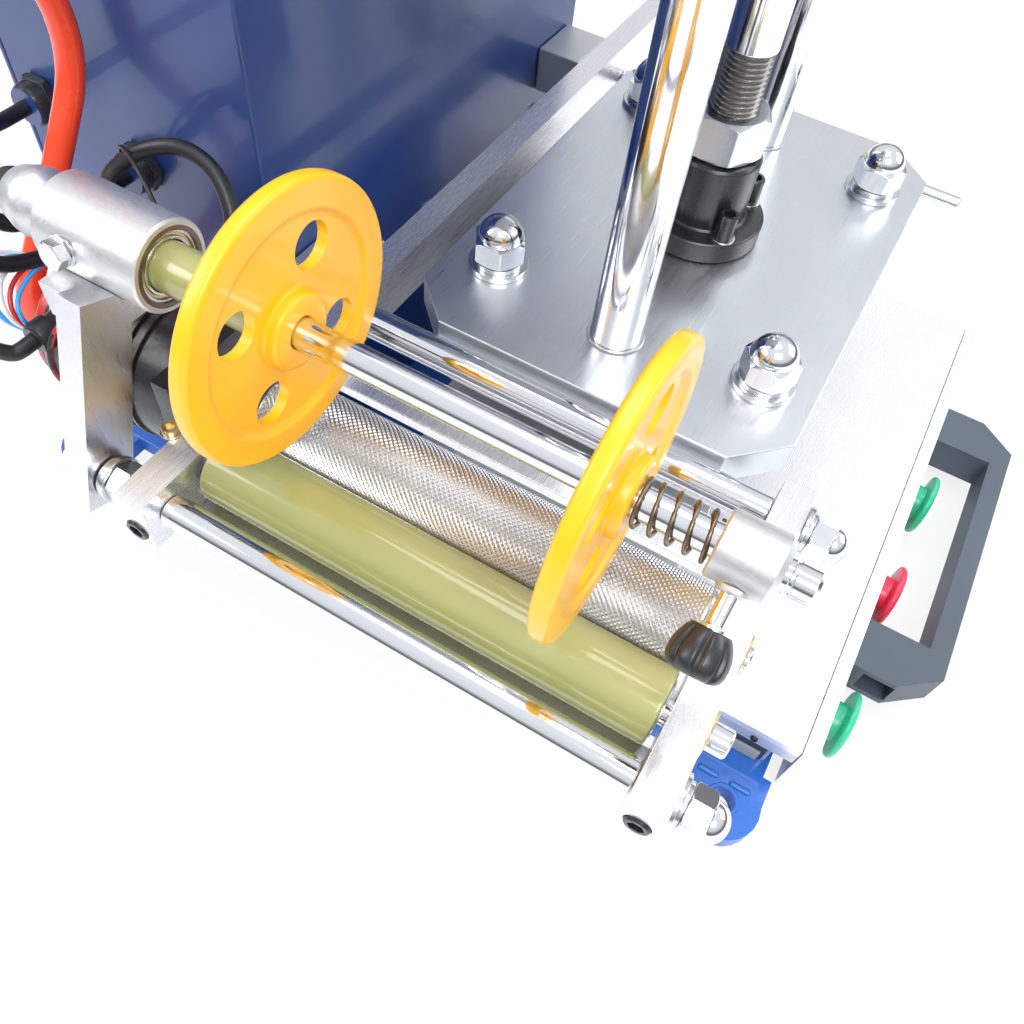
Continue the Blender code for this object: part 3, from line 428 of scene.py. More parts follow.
def node_lathe(node, profile, material, body, **options):
    """A turned piece in place of a CAD node that lies along Y; heights run from its front end."""
    low, high = span(node)
    at = ((low.x + high.x) / 2, low.y, (low.z + high.z) / 2)
    return lathe("look_" + node, at, BACK, profile, material, body, (node,), **options)


def ring_profile(inner, outer, height):
    return [(inner, 0), (outer, 0), (outer, height), (inner, height)]


def diagonals(middle, radius, height):
    """Four places around an upright axis, at the diagonals."""
    turns = [math.radians(45 + 90 * quarter) for quarter in range(4)]
    return [(middle.x + radius * math.cos(turn), middle.y + radius * math.sin(turn), height)
            for turn in turns]


def bar_profile(radius, length, chamfer=0.8):
    return [(0, 0), (radius - chamfer, 0), (radius, chamfer), (radius, length - chamfer),
            (radius - chamfer, length), (0, length)]


def clean_copy(node, material, body):
    """A copy of a CAD node with merged flat faces, shown in its place."""
    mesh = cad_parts[node].data.copy()
    shape = bmesh.new()
    shape.from_mesh(mesh)
    bmesh.ops.remove_doubles(shape, verts=shape.verts, dist=2e-6)
    bmesh.ops.dissolve_limit(shape, angle_limit=math.radians(1), verts=shape.verts, edges=shape.edges)
    bmesh.ops.recalc_face_normals(shape, faces=shape.faces)
    shape.to_mesh(mesh)
    shape.free()
    return link("look_" + node, mesh, material, body, (node,))


def softened(node, width, material, body, segments=2):
    """A clean copy with rounded edges."""
    return round_edges(clean_copy(node, material, body), width, segments=segments)


def block(name, low, high, material, body, edge=0.5):
    """A box with rounded edges between two corners in millimetres."""
    low, high = Vector(low), Vector(high)
    half = (high - low) / 2
    shape = bmesh.new()
    bmesh.ops.create_cube(shape, size=2)
    bmesh.ops.scale(shape, vec=half * MM, verts=shape.verts)
    mesh = bpy.data.meshes.new(name)
    shape.to_mesh(mesh)
    shape.free()
    obj = link(name, mesh, material, body)
    obj.matrix_world = Matrix.Translation((low + half) * MM)
    return round_edges(obj, edge)


def hex_radius(angle, flats):
    """Distance from the middle to the side of a hexagon at an angle."""
    sector = (angle + math.pi / 6) % (math.pi / 3) - math.pi / 6
    return flats / 2 / math.cos(sector)


def hex_rings(flats, low, high, bore=0.0, steps=72):
    """Rings of a hexagon nut or head with its chamfered crown on both ends."""
    crown = flats / 2 * 0.97
    slope = math.tan(math.radians(30))
    rings = [circle(max(bore, 0.01), low, steps), circle(crown, low, steps)]
    lower, upper = [], []
    for i in range(steps):
        angle = 2 * math.pi * i / steps
        radius = hex_radius(angle, flats)
        drop = max(0.0, radius - crown) * slope
        x, y = radius * math.cos(angle), radius * math.sin(angle)
        lower.append((x, y, low + drop))
        upper.append((x, y, high - drop))
    rings += [lower, upper, circle(crown, high, steps), circle(max(bore, 0.01), high, steps)]
    return rings


def hex_piece(name, at, direction, flats, length, material, body, stands_for=(), bore=0.0):
    rings = hex_rings(flats, 0, length, bore)
    obj = link(name, rings_mesh(name, rings, loop=bore > 0), material, body, stands_for)
    obj.matrix_world = aim(at, direction)
    return round_edges(obj, 0.25, angle=20)


def domed_nut(name, at, direction, flats, material, body, stands_for=()):
    """Acorn nut: chamfered hexagon, neck and polished dome, on a flat and a spring washer."""
    washer_t, nut_h, dome = flats * 0.12, flats * 0.62, flats * 0.46
    base = washer_t * 1.9
    top = washer_t + nut_h
    rings = hex_rings(flats, base, top)[:-1]
    rings.append(circle(dome * 1.03, top, 72))
    rings.append(circle(dome, top + 0.4, 72))
    for step in range(1, 12):
        angle = step * math.pi / 2 / 11
        rings.append(circle(max(dome * math.cos(angle), 0.02),
                            top + 0.4 + dome * 0.88 * math.sin(angle), 72))
    obj = link(name, rings_mesh(name, rings), material, body, stands_for)
    obj.matrix_world = aim(at, direction)
    round_edges(obj, 0.25, angle=24)
    flat_r = flats / math.sqrt(3) * 1.11
    lathe(name + "_washer", at, direction, ring_profile(2, flat_r, washer_t), ZINC, body, edge=0.35)
    spring_r = flats * 0.53
    lathe(name + "_spring_washer", Vector(at) + Vector(direction) * washer_t, direction,
          ring_profile(2, spring_r, washer_t * 0.85), ZINC, body, edge=0.3)
    return obj


def socket_screw(name, at, direction, radius, body, material=BLACK, head=None, washer=True):
    """Cap screw with a hexagon socket; the head stands on the surface at a point."""
    head = head or radius * 1.15
    lift = 0.0
    if washer:
        lift = radius * 0.16
        lathe(name + "_washer", at, direction, ring_profile(radius * 0.3, radius * 1.28, lift), ZINC,
              body, edge=0.15, steps=40)
    steps = 48
    flats = radius * 1.1
    rings = [circle(radius * 0.97, lift, steps), circle(radius, lift + 0.3, steps),
             circle(radius, lift + head - 0.7, steps), circle(radius * 0.9, lift + head, steps)]
    for height, scale in ((lift + head, 1.04), (lift + head - 0.3, 1.0), (lift + head * 0.35, 0.98)):
        rings.append(polar_ring(lambda step, angle: hex_radius(angle, flats) * scale, height, steps))
    obj = link(name, rings_mesh(name, rings), material, body)
    obj.matrix_world = aim(at, direction)
    return round_edges(obj, 0, angle=30)


def wire(name, points, radius, material, body, stands_for=(), resolution=4):
    """A round wire along a smooth line through points in millimetres."""
    curve = bpy.data.curves.new(name, "CURVE")
    curve.dimensions = "3D"
    curve.bevel_depth = radius * MM
    curve.bevel_resolution = resolution
    curve.use_fill_caps = True
    spline = curve.splines.new("POLY")
    route = [Vector(p) for p in points]
    spline.points.add(len(route) - 1)
    for target, point in zip(spline.points, route):
        target.co = (*(point * MM), 1)
    spline.use_smooth = True
    link(name, curve, material, body, stands_for)


def smooth_route(points, count, leads=False):
    """count points on a Catmull-Rom curve; with leads the first and last stretches are straight."""
    knots = [Vector(point) for point in points]
    if not leads:
        knots = [2 * knots[0] - knots[1], *knots, 2 * knots[-1] - knots[-2]]
    route = []
    for step in range(count):
        t = step / (count - 1) * (len(knots) - 3)
        i = min(int(t), len(knots) - 4)
        t -= i
        a, b, c, d = knots[i:i + 4]
        route.append(0.5 * (2 * b + (c - a) * t + (2 * a - 5 * b + 4 * c - d) * t ** 2
                            + (3 * b - a - 3 * c + d) * t ** 3))
    return [knots[0], *route, knots[-1]] if leads else route


def cut_with(obj, cutters):
    """Cuts pieces out of a mesh for good, then drops the cutters."""
    for tool in cutters:
        modifier = obj.modifiers.new("cut", "BOOLEAN")
        modifier.operation = "DIFFERENCE"
        modifier.solver = "EXACT"
        modifier.object = tool
    bpy.context.view_layer.update()
    evaluated = obj.evaluated_get(bpy.context.evaluated_depsgraph_get())
    mesh = bpy.data.meshes.new_from_object(evaluated)
    obj.modifiers.clear()
    obj.data = mesh
    for tool in cutters:
        bpy.data.objects.remove(tool)


def cutter(at, direction, rings):
    mesh = rings_mesh("cutter", rings)
    obj = bpy.data.objects.new("cutter", mesh)
    obj.matrix_world = aim(at, direction)
    bpy.context.scene.collection.objects.link(obj)
    return obj


# ---------------------------------------------------------------- hose and cables
def build_cords():
    port = span("tower_shell")[0].x - 0.3
    knurl_x, arm_z, motor_r, gland = -220.5, 162, 35, 7
    side = (knurl_x - motor_r + 1, 203, arm_z + 26)
    top = (knurl_x + 28, 150, arm_z + motor_r + gland)
    hose = [(port, 244, 400), (-186, 244, 400), (-200, 243, 387), (-203, 242, 362),
            (-193, 240, 332), (-180, 239, 304), (-173, 239, 278), (-176, 240, 254),
            (-189, 242, 231), (-204, 244, 209), (-219, 246, 188), (-230, 250, 166),
            (-229, 256, 143), (-214, 261, 124), (-188, 262, 117), (port, 262, 117)]
    cable = [(port, 290, 218), (-184, 290, 218), (-207, 274, 230), (-230, 250, 246),
             (-246, 235, 253), (-250, 227, 240), (-238, 223, 224), (-221, 223, 221),
             (-214, 221, 212), (-224, 219, 204), (-247, 218, 212), (-264, 218, 224),
             (-277, 218, 225), (-283, 217, 213), (-281, 212, 199), (-273, 205, 189),
             (side[0] - gland - 6, *side[1:]), (side[0] - gland - 0.3, *side[1:])]
    arch = [(port, 232, 205), (-177, 232, 205), (-187, 226, 212), (-189, 214, 226),
            (-184, 198, 239), (-178, 181, 244), (-177, 166, 239), (-183, 154, 227),
            (top[0], top[1], top[2] + 8), (top[0], top[1], top[2] + 0.3)]
    for node, points, radius, material, count in (
            ("air_hose", hose, 6, ORANGE, 72), ("motor_cable", cable, 3.5, RUBBER, 100),
            ("sensor_cable", arch, 3.5, RUBBER, 50)):
        wire("look_" + node, smooth_route(points, count, leads=True), radius, material, "frame",
             (node,), resolution=6)


# ---------------------------------------------------------------- film reels
HOLES_IN_DISC = 4
HOLE_PITCH = 30
HOLE_TURN = 58


def film_disc(node, body):
    """Moulded disc: rounded rim band, fine groove, recessed web, hub boss and four holes."""
    low, high = span(node)
    at = Vector(((low.x + high.x) / 2, low.y, (low.z + high.z) / 2))
    rim = (high.x - low.x) / 2
    depth, proud, bore = high.y - low.y, 3.0, 6.3
    web = proud + 2.0
    profile = [(bore, 0.6), (bore + 0.6, 0), (13.2, 0), (14.4, 0.5), (15.0, 1.6), (15.2, web - 0.8),
               (15.8, web - 0.2), (16.8, web), (rim - 14.6, web), (rim - 13.2, web - 0.3),
               (rim - 12.2, web - 1.0), (rim - 11.4, proud + 0.4), (rim - 10.2, proud),
               (rim - 2.2, proud), (rim - 0.9, proud + 0.45), (rim - 0.2, proud + 1.2),
               (rim, proud + 2.2), (rim, depth - 2), (rim - 0.4, depth - 0.8), (rim - 1.6, depth),
               (rim - 11, depth), (rim - 12, depth - 0.8), (16, depth - 0.8), (15, depth),
               (bore + 0.6, depth), (bore, depth - 0.6)]
    rings = [circle(r, h, 128) for r, h in profile]
    disc = link("look_" + node, rings_mesh(node, rings, loop=True), YELLOW, body, (node,))
    disc.matrix_world = aim(at, BACK)
    tools = []
    for quarter in range(HOLES_IN_DISC):
        angle = math.radians(HOLE_TURN + quarter * 360 / HOLES_IN_DISC)
        where = at + Vector((HOLE_PITCH * math.cos(angle), 0, HOLE_PITCH * math.sin(angle)))
        tools.append(cutter(where - BACK * 8, BACK, [circle(9, 0, 56), circle(9, 26, 56)]))
    cut_with(disc, tools)
    round_edges(disc, 0.45, angle=40)


def build_reels():
    film_disc("rewind_disc_inner", "rewind_reel")
    film_disc("rewind_disc_outer", "outer_disc")
    for node in ("supply_disc_front", "supply_disc_rear"):
        softened(node, 0.7, YELLOW, "supply_reel")
    length = length_y("rewind_spindle")
    node_lathe("rewind_spindle",
               [(0, 2.6), (1.2, 1.4), (2.2, 0), (4.9, 0), (6, 1.1), (6, 7.6), (5.6, 8), (5.6, 9),
                (6, 9.4), (6, length - 1), (5, length), (0, length)], CHROME, "rewind_reel", steps=96,
               edge=0.12)
    node_lathe("supply_spindle", bar_profile(6, length_y("supply_spindle"), 1), CHROME, "supply_reel",
               edge=0.2)
    length = length_y("spindle_sleeve")
    node_lathe("spindle_sleeve", [(6.3, 0), (9.3, 0), (10, 0.7), (10, length - 0.7), (9.3, length),
                                  (6.3, length)], AMBER, "rewind_reel", loop=True, edge=0.2)


def build_clamp():
    middle = centre("spindle_collar")
    length = length_y("spindle_collar")
    collar = node_lathe("spindle_collar",
                        [(6.3, 0.4), (6.7, 0), (9.9, 0), (12, 2.1), (12, length - 0.8),
                         (11.2, length), (6.7, length), (6.3, length - 0.4)], CAST, "clamp_collar",
                        loop=True, edge=0)
    collar.modifiers.clear()
    out = Vector((-0.85, 0, -0.53)).normalized()
    cut_with(collar, [cutter(middle, out, [circle(3.5, 0, 40), circle(3.5, 20, 40)])])
    round_edges(collar, 0.2, angle=30)
    lathe("collar_boss", middle + out * 11.2, out,
          [(3.6, 0), (5.8, 0), (5.8, 1.6), (5.2, 2.4), (3.6, 2.4)], CAST, "clamp_collar", steps=48,
          loop=True, edge=0.2)
    lathe("knob_stem", middle + out * 7, out,
          [(0, 0), (2.8, 0), (3.2, 0.6), (3.2, 17), (4.6, 17.6), (4.6, 19.2), (3, 19.6), (0, 19.6)],
          CHROME, "clamp_screw", steps=48, edge=0.15)
    rings, flutes, steps = [], 8, 192
    outline = [(4.4, 25.6, 0), (6.8, 25.7, 0.1), (8.1, 27.4, 0.6), (9.2, 29.8, 1), (10.1, 32.4, 1),
               (10.4, 35, 1), (10.3, 37.4, 1), (9.6, 39.4, 0.9), (8.3, 40.8, 0.5), (6.4, 41.4, 0.1),
               (4, 41.5, 0), (0.02, 41.6, 0)]
    for radius, height, depth in outline:
        rings.append(polar_ring(
            lambda step, angle: radius - 1.15 * depth * max(0.0, math.cos(flutes * angle)) ** 2.2,
            height, steps))
    knob = link("knob_cap", rings_mesh("knob_cap", rings), BLACK, "clamp_screw", ("clamp_knob",))
    knob.matrix_world = aim(middle, out)
    round_edges(knob, 0, angle=50)


def build_spring():
    """Open compression spring with closed end coils."""
    low, high = span("spindle_spring")
    axis = centre("spindle_collar")
    wire_r, coil_r, turns, per_turn, sides = 0.8, 8.4, 5, 40, 10
    front, back = low.y + wire_r, high.y - wire_r
    shape = bmesh.new()
    rings = []
    total = turns * per_turn
    for step in range(total + 1):
        share = step / total
        angle = 2 * math.pi * turns * share
        eased = min(1, max(0, (share - 0.1) / 0.8))
        eased = 0.03 * min(1, share / 0.1) + 0.94 * eased + 0.03 * max(0, (share - 0.9) / 0.1)
        y = back + (front - back) * eased
        hub = Vector((axis.x + coil_r * math.cos(angle), y, axis.z + coil_r * math.sin(angle)))
        outward = Vector((math.cos(angle), 0, math.sin(angle)))
        rings.append([shape.verts.new((hub + (outward * math.cos(a) + BACK * math.sin(a)) * wire_r) * MM)
                      for a in (2 * math.pi * side / sides for side in range(sides))])
    for first, second in zip(rings, rings[1:]):
        for side in range(sides):
            after = (side + 1) % sides
            shape.faces.new((first[side], first[after], second[after], second[side]))
    shape.faces.new(rings[0])
    shape.faces.new(rings[-1])
    bmesh.ops.recalc_face_normals(shape, faces=shape.faces)
    mesh = bpy.data.meshes.new("spring")
    shape.to_mesh(mesh)
    shape.free()
    for polygon in mesh.polygons:
        polygon.use_smooth = True
    spring = link("look_spindle_spring", mesh, BRONZE, "clamp_collar", ("spindle_spring",))
    SQUASHED.append((spring, axis, low.y, high.y))


# ---------------------------------------------------------------- bearing, bracket and arms
def bolt_head(name, at, direction, flats, height, body):
    """Hexagon head on a washer, standing on the surface at a point."""
    facing = Vector(direction).normalized()
    washer_t = flats * 0.1
    lathe(name + "_washer", at, facing, ring_profile(flats * 0.2, flats * 0.63, washer_t), ZINC, body,
          steps=48, edge=0.15)
    hex_piece(name, Vector(at) + facing * washer_t, facing, flats, height, ZINC, body)


def build_bearing():
    front = span("bearing_housing")[0].y
    middle = centre("bearing_housing")
    profile = [(15.2, 0.4), (15.6, 0), (17.7, 0), (18.6, 0.9), (18.6, 49), (17.6, 50), (13.4, 50),
               (12.0, 51.4), (11.2, 54), (11.3, 57), (12.4, 59.6), (13.7, 62), (14.1, 64.6),
               (13.6, 67.4), (12.5, 70.4), (11.6, 73.4), (10.6, 75.2), (9.2, 75.5), (8, 75.3), (8, 13),
               (15.2, 13)]
    node_lathe("bearing_housing", profile, CAST, "frame", loop=True, steps=96, edge=0.25)
    node_lathe("housing_bearing",
               [(10.3, 0.5), (10.6, 0.2), (11.6, 0.2), (11.8, 0.6), (11.8, 8.6), (10.3, 8.6)], ZINC,
               "frame", loop=True, edge=0.1)
    lathe("bearing_outer_ring", (middle.x, front + 0.9, middle.z), BACK,
          [(13.0, 0.4), (13.2, 0), (14.9, 0), (15.1, 0.3), (15.1, 9), (13.0, 9)], ZINC, "frame",
          loop=True, edge=0.1)
    lathe("bearing_shield", (middle.x, front + 1.9, middle.z), BACK, ring_profile(11.9, 12.9, 1), BRASS,
          "frame", loop=True, edge=0)
    lathe("bearing_snap_ring", (middle.x, front - 0.05, middle.z), BACK, ring_profile(14.2, 16.2, 1),
          BRONZE, "frame", loop=True, edge=0.1)
    node_lathe("housing_end_knob", [(0, 0), (5.8, 0), (7.4, 0.8), (8.2, 2.6), (8.2, 5.6), (7.4, 7.6),
                                    (5.6, 8.5), (0, 8.5)], BLACK, "frame", edge=0.2)
    softened("bearing_bracket", 0.9, CROSS, "frame", segments=3)
    side = Vector((-1, 0, 0.2)).normalized()
    bolt_head("housing_bolt", Vector((middle.x, 166, middle.z)) + side * 18.4, side, 10, 5.4, "frame")
    x, z = centre("tie_rod").x, centre("tie_rod").z
    lathe("look_bracket_bolt", (x, span("bracket_bolt")[0].y, z), BACK,
          bar_profile(5, length_y("bracket_bolt"), 0.8), ZINC, "frame", ("bracket_bolt",), steps=48,
          edge=0.15)
    hex_piece("bracket_head", (x, 158.4, z), BACK, 17, 6.8, ZINC, "frame")
    hex_piece("bracket_nut", (x, 131.6, z), BACK, 17, 8.6, ZINC, "frame")
    for number, (radius, at) in enumerate(((10.5, 140.4), (9.2, 142.9), (10.5, 129.0))):
        lathe(f"bracket_washer_{number}", (x, at, z), BACK, ring_profile(4.9, radius, 2.3), ZINC,
              "frame", loop=True, steps=56, edge=0.3)


def build_arms():
    for node in ("arm_front", "arm_back"):
        low, high = span(node)
        y = (low.y + high.y) / 2
        arm = clean_copy(node, BRIGHT, "frame")
        seat = Vector((low.x - 4, y, ARM_SCREW_Z))
        cut_with(arm, [cutter(seat, RIGHT, [circle(5.6, 0, 48), circle(5.6, 8.5, 48)])])
        round_edges(arm, 0.9, segments=3)
        socket_screw(node + "_end_screw", (low.x + 3.6, y, ARM_SCREW_Z), LEFT, 5.4, "frame", head=4.8,
                     washer=False)
    for node, material in (("cross_plate", BRIGHT), ("lower_tie_bar", CROSS)):
        softened(node, 0.6, material, "frame")
    for node in ("arm_spacer_left", "arm_spacer_right"):
        softened(node, 1, CAST, "frame")
    for node, radius in (("tie_rod", 7), ("idler_rod", 8), ("guide_rod", 4.5)):
        node_lathe(node, bar_profile(radius, length_y(node), 0.8), CHROME, "frame", edge=0.2)
    arm_face = span("arm_front")[0].y - 0.05
    for node, rod in (("tie_rod_nut", "tie_rod"), ("idler_rod_nut", "idler_rod")):
        middle = centre(rod)
        domed_nut("look_" + node, (middle.x, arm_face, middle.z), FRONT, 18, CHROME, "frame", (node,))
    middle, back_face = centre("guide_rod"), span("arm_back")[1].y
    bolt_head("guide_rod_bolt", (middle.x, back_face, middle.z), BACK, 10, 5, "frame")
    for x in (-60, 60):
        bolt_head(f"arm_bolt_{x}", (x, back_face, ARM_BOLT_Z), BACK, 13, 6, "frame")
    for roller in ("knurled_roller", "rubber_roller"):
        middle = centre(roller)
        for face_y, facing, tag in ((span("arm_front")[0].y, FRONT, "front"), (back_face, BACK, "back")):
            lathe(f"{roller}_bush_{tag}", (middle.x, face_y, middle.z), facing,
                  [(6.3, 0), (10.5, 0), (10.5, 0.9), (9.9, 1.5), (6.3, 1.5)], BRASS, "frame",
                  loop=True, steps=56, edge=0.15)


# ---------------------------------------------------------------- pull rollers
def knurl_dip(u, v):
    """Depth of a diamond knurl, 0 on the points and 1 in the grooves, from its place in cells."""
    first = 1 - abs(2 * ((u + v) / 2 % 1) - 1)
    second = 1 - abs(2 * ((u - v) / 2 % 1) - 1)
    return 1 - min(1, 1.5 * min(first, second))


def build_rollers():
    low, high = span("knurled_roller")
    middle = centre("knurled_roller")
    inner = (span("arm_front")[1].y + 3, span("arm_back")[0].y - 3)
    lathe("knurled_roller_shaft", (middle.x, low.y, middle.z), BACK, bar_profile(6, high.y - low.y),
          CHROME, "feed_roller", steps=56, edge=0.15)
    radius, cell, per_cell = 20.0, 1.3, 3
    around = 2 * round(math.pi * radius / cell)
    length = inner[1] - inner[0]
    knurl_length = length - 5
    rows = round(knurl_length / cell) * per_cell
    steps = around * per_cell
    rings = [circle(6.2, 0, steps), circle(17.6, 0, steps), circle(19.2, 1.6, steps),
             circle(19.2, 2.4, steps)]
    for row in range(rows + 1):
        rings.append(polar_ring(lambda step, angle: radius - 0.6 * knurl_dip(step / per_cell, row / per_cell),
                                2.5 + knurl_length * row / rows, steps))
    rings += [circle(19.2, length - 2.4, steps), circle(19.2, length - 1.6, steps),
              circle(17.6, length, steps), circle(6.2, length, steps)]
    knurl = link("look_knurled_roller", rings_mesh("knurl", rings), KNURL_STEEL, "feed_roller",
                 ("knurled_roller",))
    knurl.matrix_world = aim((middle.x, inner[0], middle.z), BACK)
    low, high = span("rubber_roller")
    middle = centre("rubber_roller")
    lathe("rubber_roller_shaft", (middle.x, low.y, middle.z), BACK,
          [(0, 1.8), (1.4, 1.2), (2, 0), (5.2, 0), (6, 0.8), (6, high.y - low.y - 0.8),
           (5.2, high.y - low.y), (0, high.y - low.y)], CHROME, "pinch_roller", steps=56, edge=0.15)
    lathe("look_rubber_roller", (middle.x, inner[0], middle.z), BACK,
          [(6.1, 0), (14.4, 0), (15.6, 0.6), (16, 1.8), (16, length - 1.8), (15.6, length - 0.6),
           (14.4, length), (6.1, length)], AMBER, "pinch_roller", ("rubber_roller",), loop=True,
          steps=96, edge=0.3)
    for y, tag in ((inner[0] - 0.7, "front"), (inner[1] - 0.9, "back")):
        lathe("rubber_end_ring_" + tag, (middle.x, y, middle.z), BACK, ring_profile(6.1, 12, 1.6), ZINC,
              "pinch_roller", loop=True, edge=0.2)


# ---------------------------------------------------------------- press
def threaded_rod(name, at, length, radius, pitch, depth, material, body):
    """Rod along Z with a helical thread."""
    steps, per_pitch = 48, 8
    rows = round(length / pitch * per_pitch)
    rings = [circle(0.02, 0, steps), circle(radius - depth, 0, steps)]
    for row in range(1, rows):
        height = length * row / rows

        def thread(step, angle):
            phase = (height / pitch + step / steps) % 1
            return radius - depth * min(1, max(0, 1.35 * abs(2 * phase - 1) - 0.12))

        rings.append(polar_ring(thread, height, steps))
    rings += [circle(radius - depth, length, steps), circle(0.02, length, steps)]
    obj = link(name, rings_mesh(name, rings), material, body)
    obj.matrix_world = aim(at, UP)
    return round_edges(obj, 0, angle=40)


def build_press():
    softened("press_plate", 0.8, PLATE, "press", segments=3)
    softened("heater_block", 0.8, CAST, "press")
    for side in ("left", "right"):
        node = "guide_column_" + side
        low, high = span(node)
        lathe("look_" + node, foot(node), UP, bar_profile(COLUMN_R, high.z - low.z, 1), CHROME, "press",
              (node,), steps=96, edge=0.3)
        lathe("column_seat_" + side, foot(node, -0.1), UP,
              [(12.6, 0), (14.2, 0), (13.8, 0.8), (12.6, 0.9)], PLATE, "press", loop=True, edge=0)
    for side in ("left", "right"):
        for row in ("front", "rear"):
            node = f"plate_nut_{row}_{side}"
            domed_nut("look_" + node, foot(node, -0.25), UP, 24, CHROME, "press", (node,))
    low, high = span("flange_coupling")
    middle = centre("flange_coupling")
    lathe("look_flange_coupling", (middle.x, middle.y, low.z), UP,
          [(10.5, 0), (32, 0), (33, 1), (33, 11), (32, 12), (23.6, 12), (22.3, 13.2), (22, 15),
           (22, 44.4), (20.8, 46), (10.5, 46)], BLACK, "press", ("flange_coupling",), loop=True,
          steps=96, edge=0.3)
    for quarter, at in enumerate(diagonals(middle, 26.6, low.z + 12)):
        socket_screw(f"flange_screw_{quarter}", at, UP, 5, "press", head=13.5)
    low, high = span("coupling_nut")
    hex_piece("look_coupling_nut", (middle.x, middle.y, low.z), UP, 36, high.z - low.z, ZINC, "press",
              ("coupling_nut",), bore=12.4)
    rod_top = span("piston_rod")[1].z
    thread_l = 52
    threaded_rod("piston_thread", (middle.x, middle.y, low.z - 1), thread_l, 12.4, 2.6, 1.5, DARK_STEEL,
                 "press")
    lathe("look_piston_rod", (middle.x, middle.y, low.z + thread_l - 1.5), UP,
          bar_profile(12.5, rod_top - low.z - thread_l + 1.5, 0.8), CHROME, "press", ("piston_rod",),
          steps=96, edge=0.2)


# ---------------------------------------------------------------- drawer
def build_drawer():
    softened("drawer_table", 0.7, TABLE, "drawer")
    softened("drawer_fascia", 0.9, TABLE, "drawer")
    softened("drawer_handle", 1.4, SLATE, "drawer", segments=3)
    softened("mould_plate", 0.8, CAST, "drawer")
    table_low, table_high = span("drawer_table")
    fascia_low, fascia_high = span("drawer_fascia")
    for side, tag in ((-1, "left"), (1, "right")):
        edge = table_high.x * side
        inner = sorted((edge - side * 0.2, edge - side * 2.6))
        block("drawer_side_" + tag, (inner[0], fascia_high.y + 0.5, table_low.z - 9),
              (inner[1], table_high.y - 2, table_low.z + 0.3), CAST, "drawer", edge=0.3)
        for number, y in enumerate((-150, -60, 30)):
            bolt_at = (edge - side * 0.3, y, table_low.z - 4.5)
            socket_screw(f"drawer_side_screw_{tag}_{number}", bolt_at, LEFT if side < 0 else RIGHT, 2.2,
                         "drawer", head=1.2, washer=False)
    for node, body, material in (("start_button_left", "start_left", GREEN),
                                 ("stop_button", "stop", RED),
                                 ("start_button_right", "start_right", GREEN)):
        length = length_y(node)
        node_lathe(node, [(0, 0), (9, 0.05), (14.5, 0.45), (17.6, 1.1), (19.3, 2.1), (20, 3.4), (19.9, 4.4),
                          (19.2, 5.1), (13.4, 5.4), (11.6, 6.2), (11, 7.6), (11, length - 0.6),
                          (10.4, length), (0, length)], material, body, edge=0.15, steps=96)
        middle = centre(node)
        lathe(node + "_bezel", (middle.x, fascia_low.y + 0.05, middle.z), FRONT,
              [(11.4, 0), (15.4, 0), (15.4, 1.1), (14.6, 1.9), (11.4, 1.9)], ZINC, "drawer", loop=True,
              edge=0.15)
        lathe(node + "_nut", (middle.x, fascia_high.y - 0.05, middle.z), BACK,
              ring_profile(11.4, 17, 1.6), BLACK, "drawer", loop=True, edge=0.2)


# ---------------------------------------------------------------- base, tower, bridge and cylinder
def build_base():
    softened("base_casting", 1.6, BASE_BLUE, "frame", segments=3)
    top = 12.0
    for x in (-213, 213):
        for y in (-151, 287):
            lathe(f"lug_boss_{x}_{y}", (x, y, top - 0.3), UP,
                  [(6.6, 0), (9.4, 0), (8.8, 0.9), (7.2, 0.9), (6.6, 0.3)], BASE_BLUE, "frame", loop=True,
                  steps=56, edge=0.2)
        side = 1 if x > 0 else -1
        bar_x = x - side * 10.5
        for number, y in enumerate((-157, -138.5)):
            block(f"lug_bar_{x}_{number}", (bar_x - 1.7, y - 6, top - 0.6),
                  (bar_x + 1.7, y + 6, top + 1.8), BASE_BLUE, "frame", edge=1.2)
    for side, facing in (("left", -1), ("right", 1)):
        softened("slide_rail_" + side, 0.8, BLACK, "frame")
        low, high = span("slide_rail_" + side)
        outer = low.x if facing < 0 else high.x
        band = sorted((outer, outer + facing * 1.4))
        block(f"rail_band_{side}", (band[0], low.y + 2, low.z + 0.2), (band[1], high.y - 2, low.z + 10.5),
              GREY, "frame", edge=0.3)
        band = sorted((outer - facing * 17.5, outer - facing * 0.5))
        block(f"rail_end_{side}", (band[0], low.y - 2.2, low.z + 0.2), (band[1], low.y - 0.2, high.z - 0.5),
              CROSS, "frame", edge=0.3)


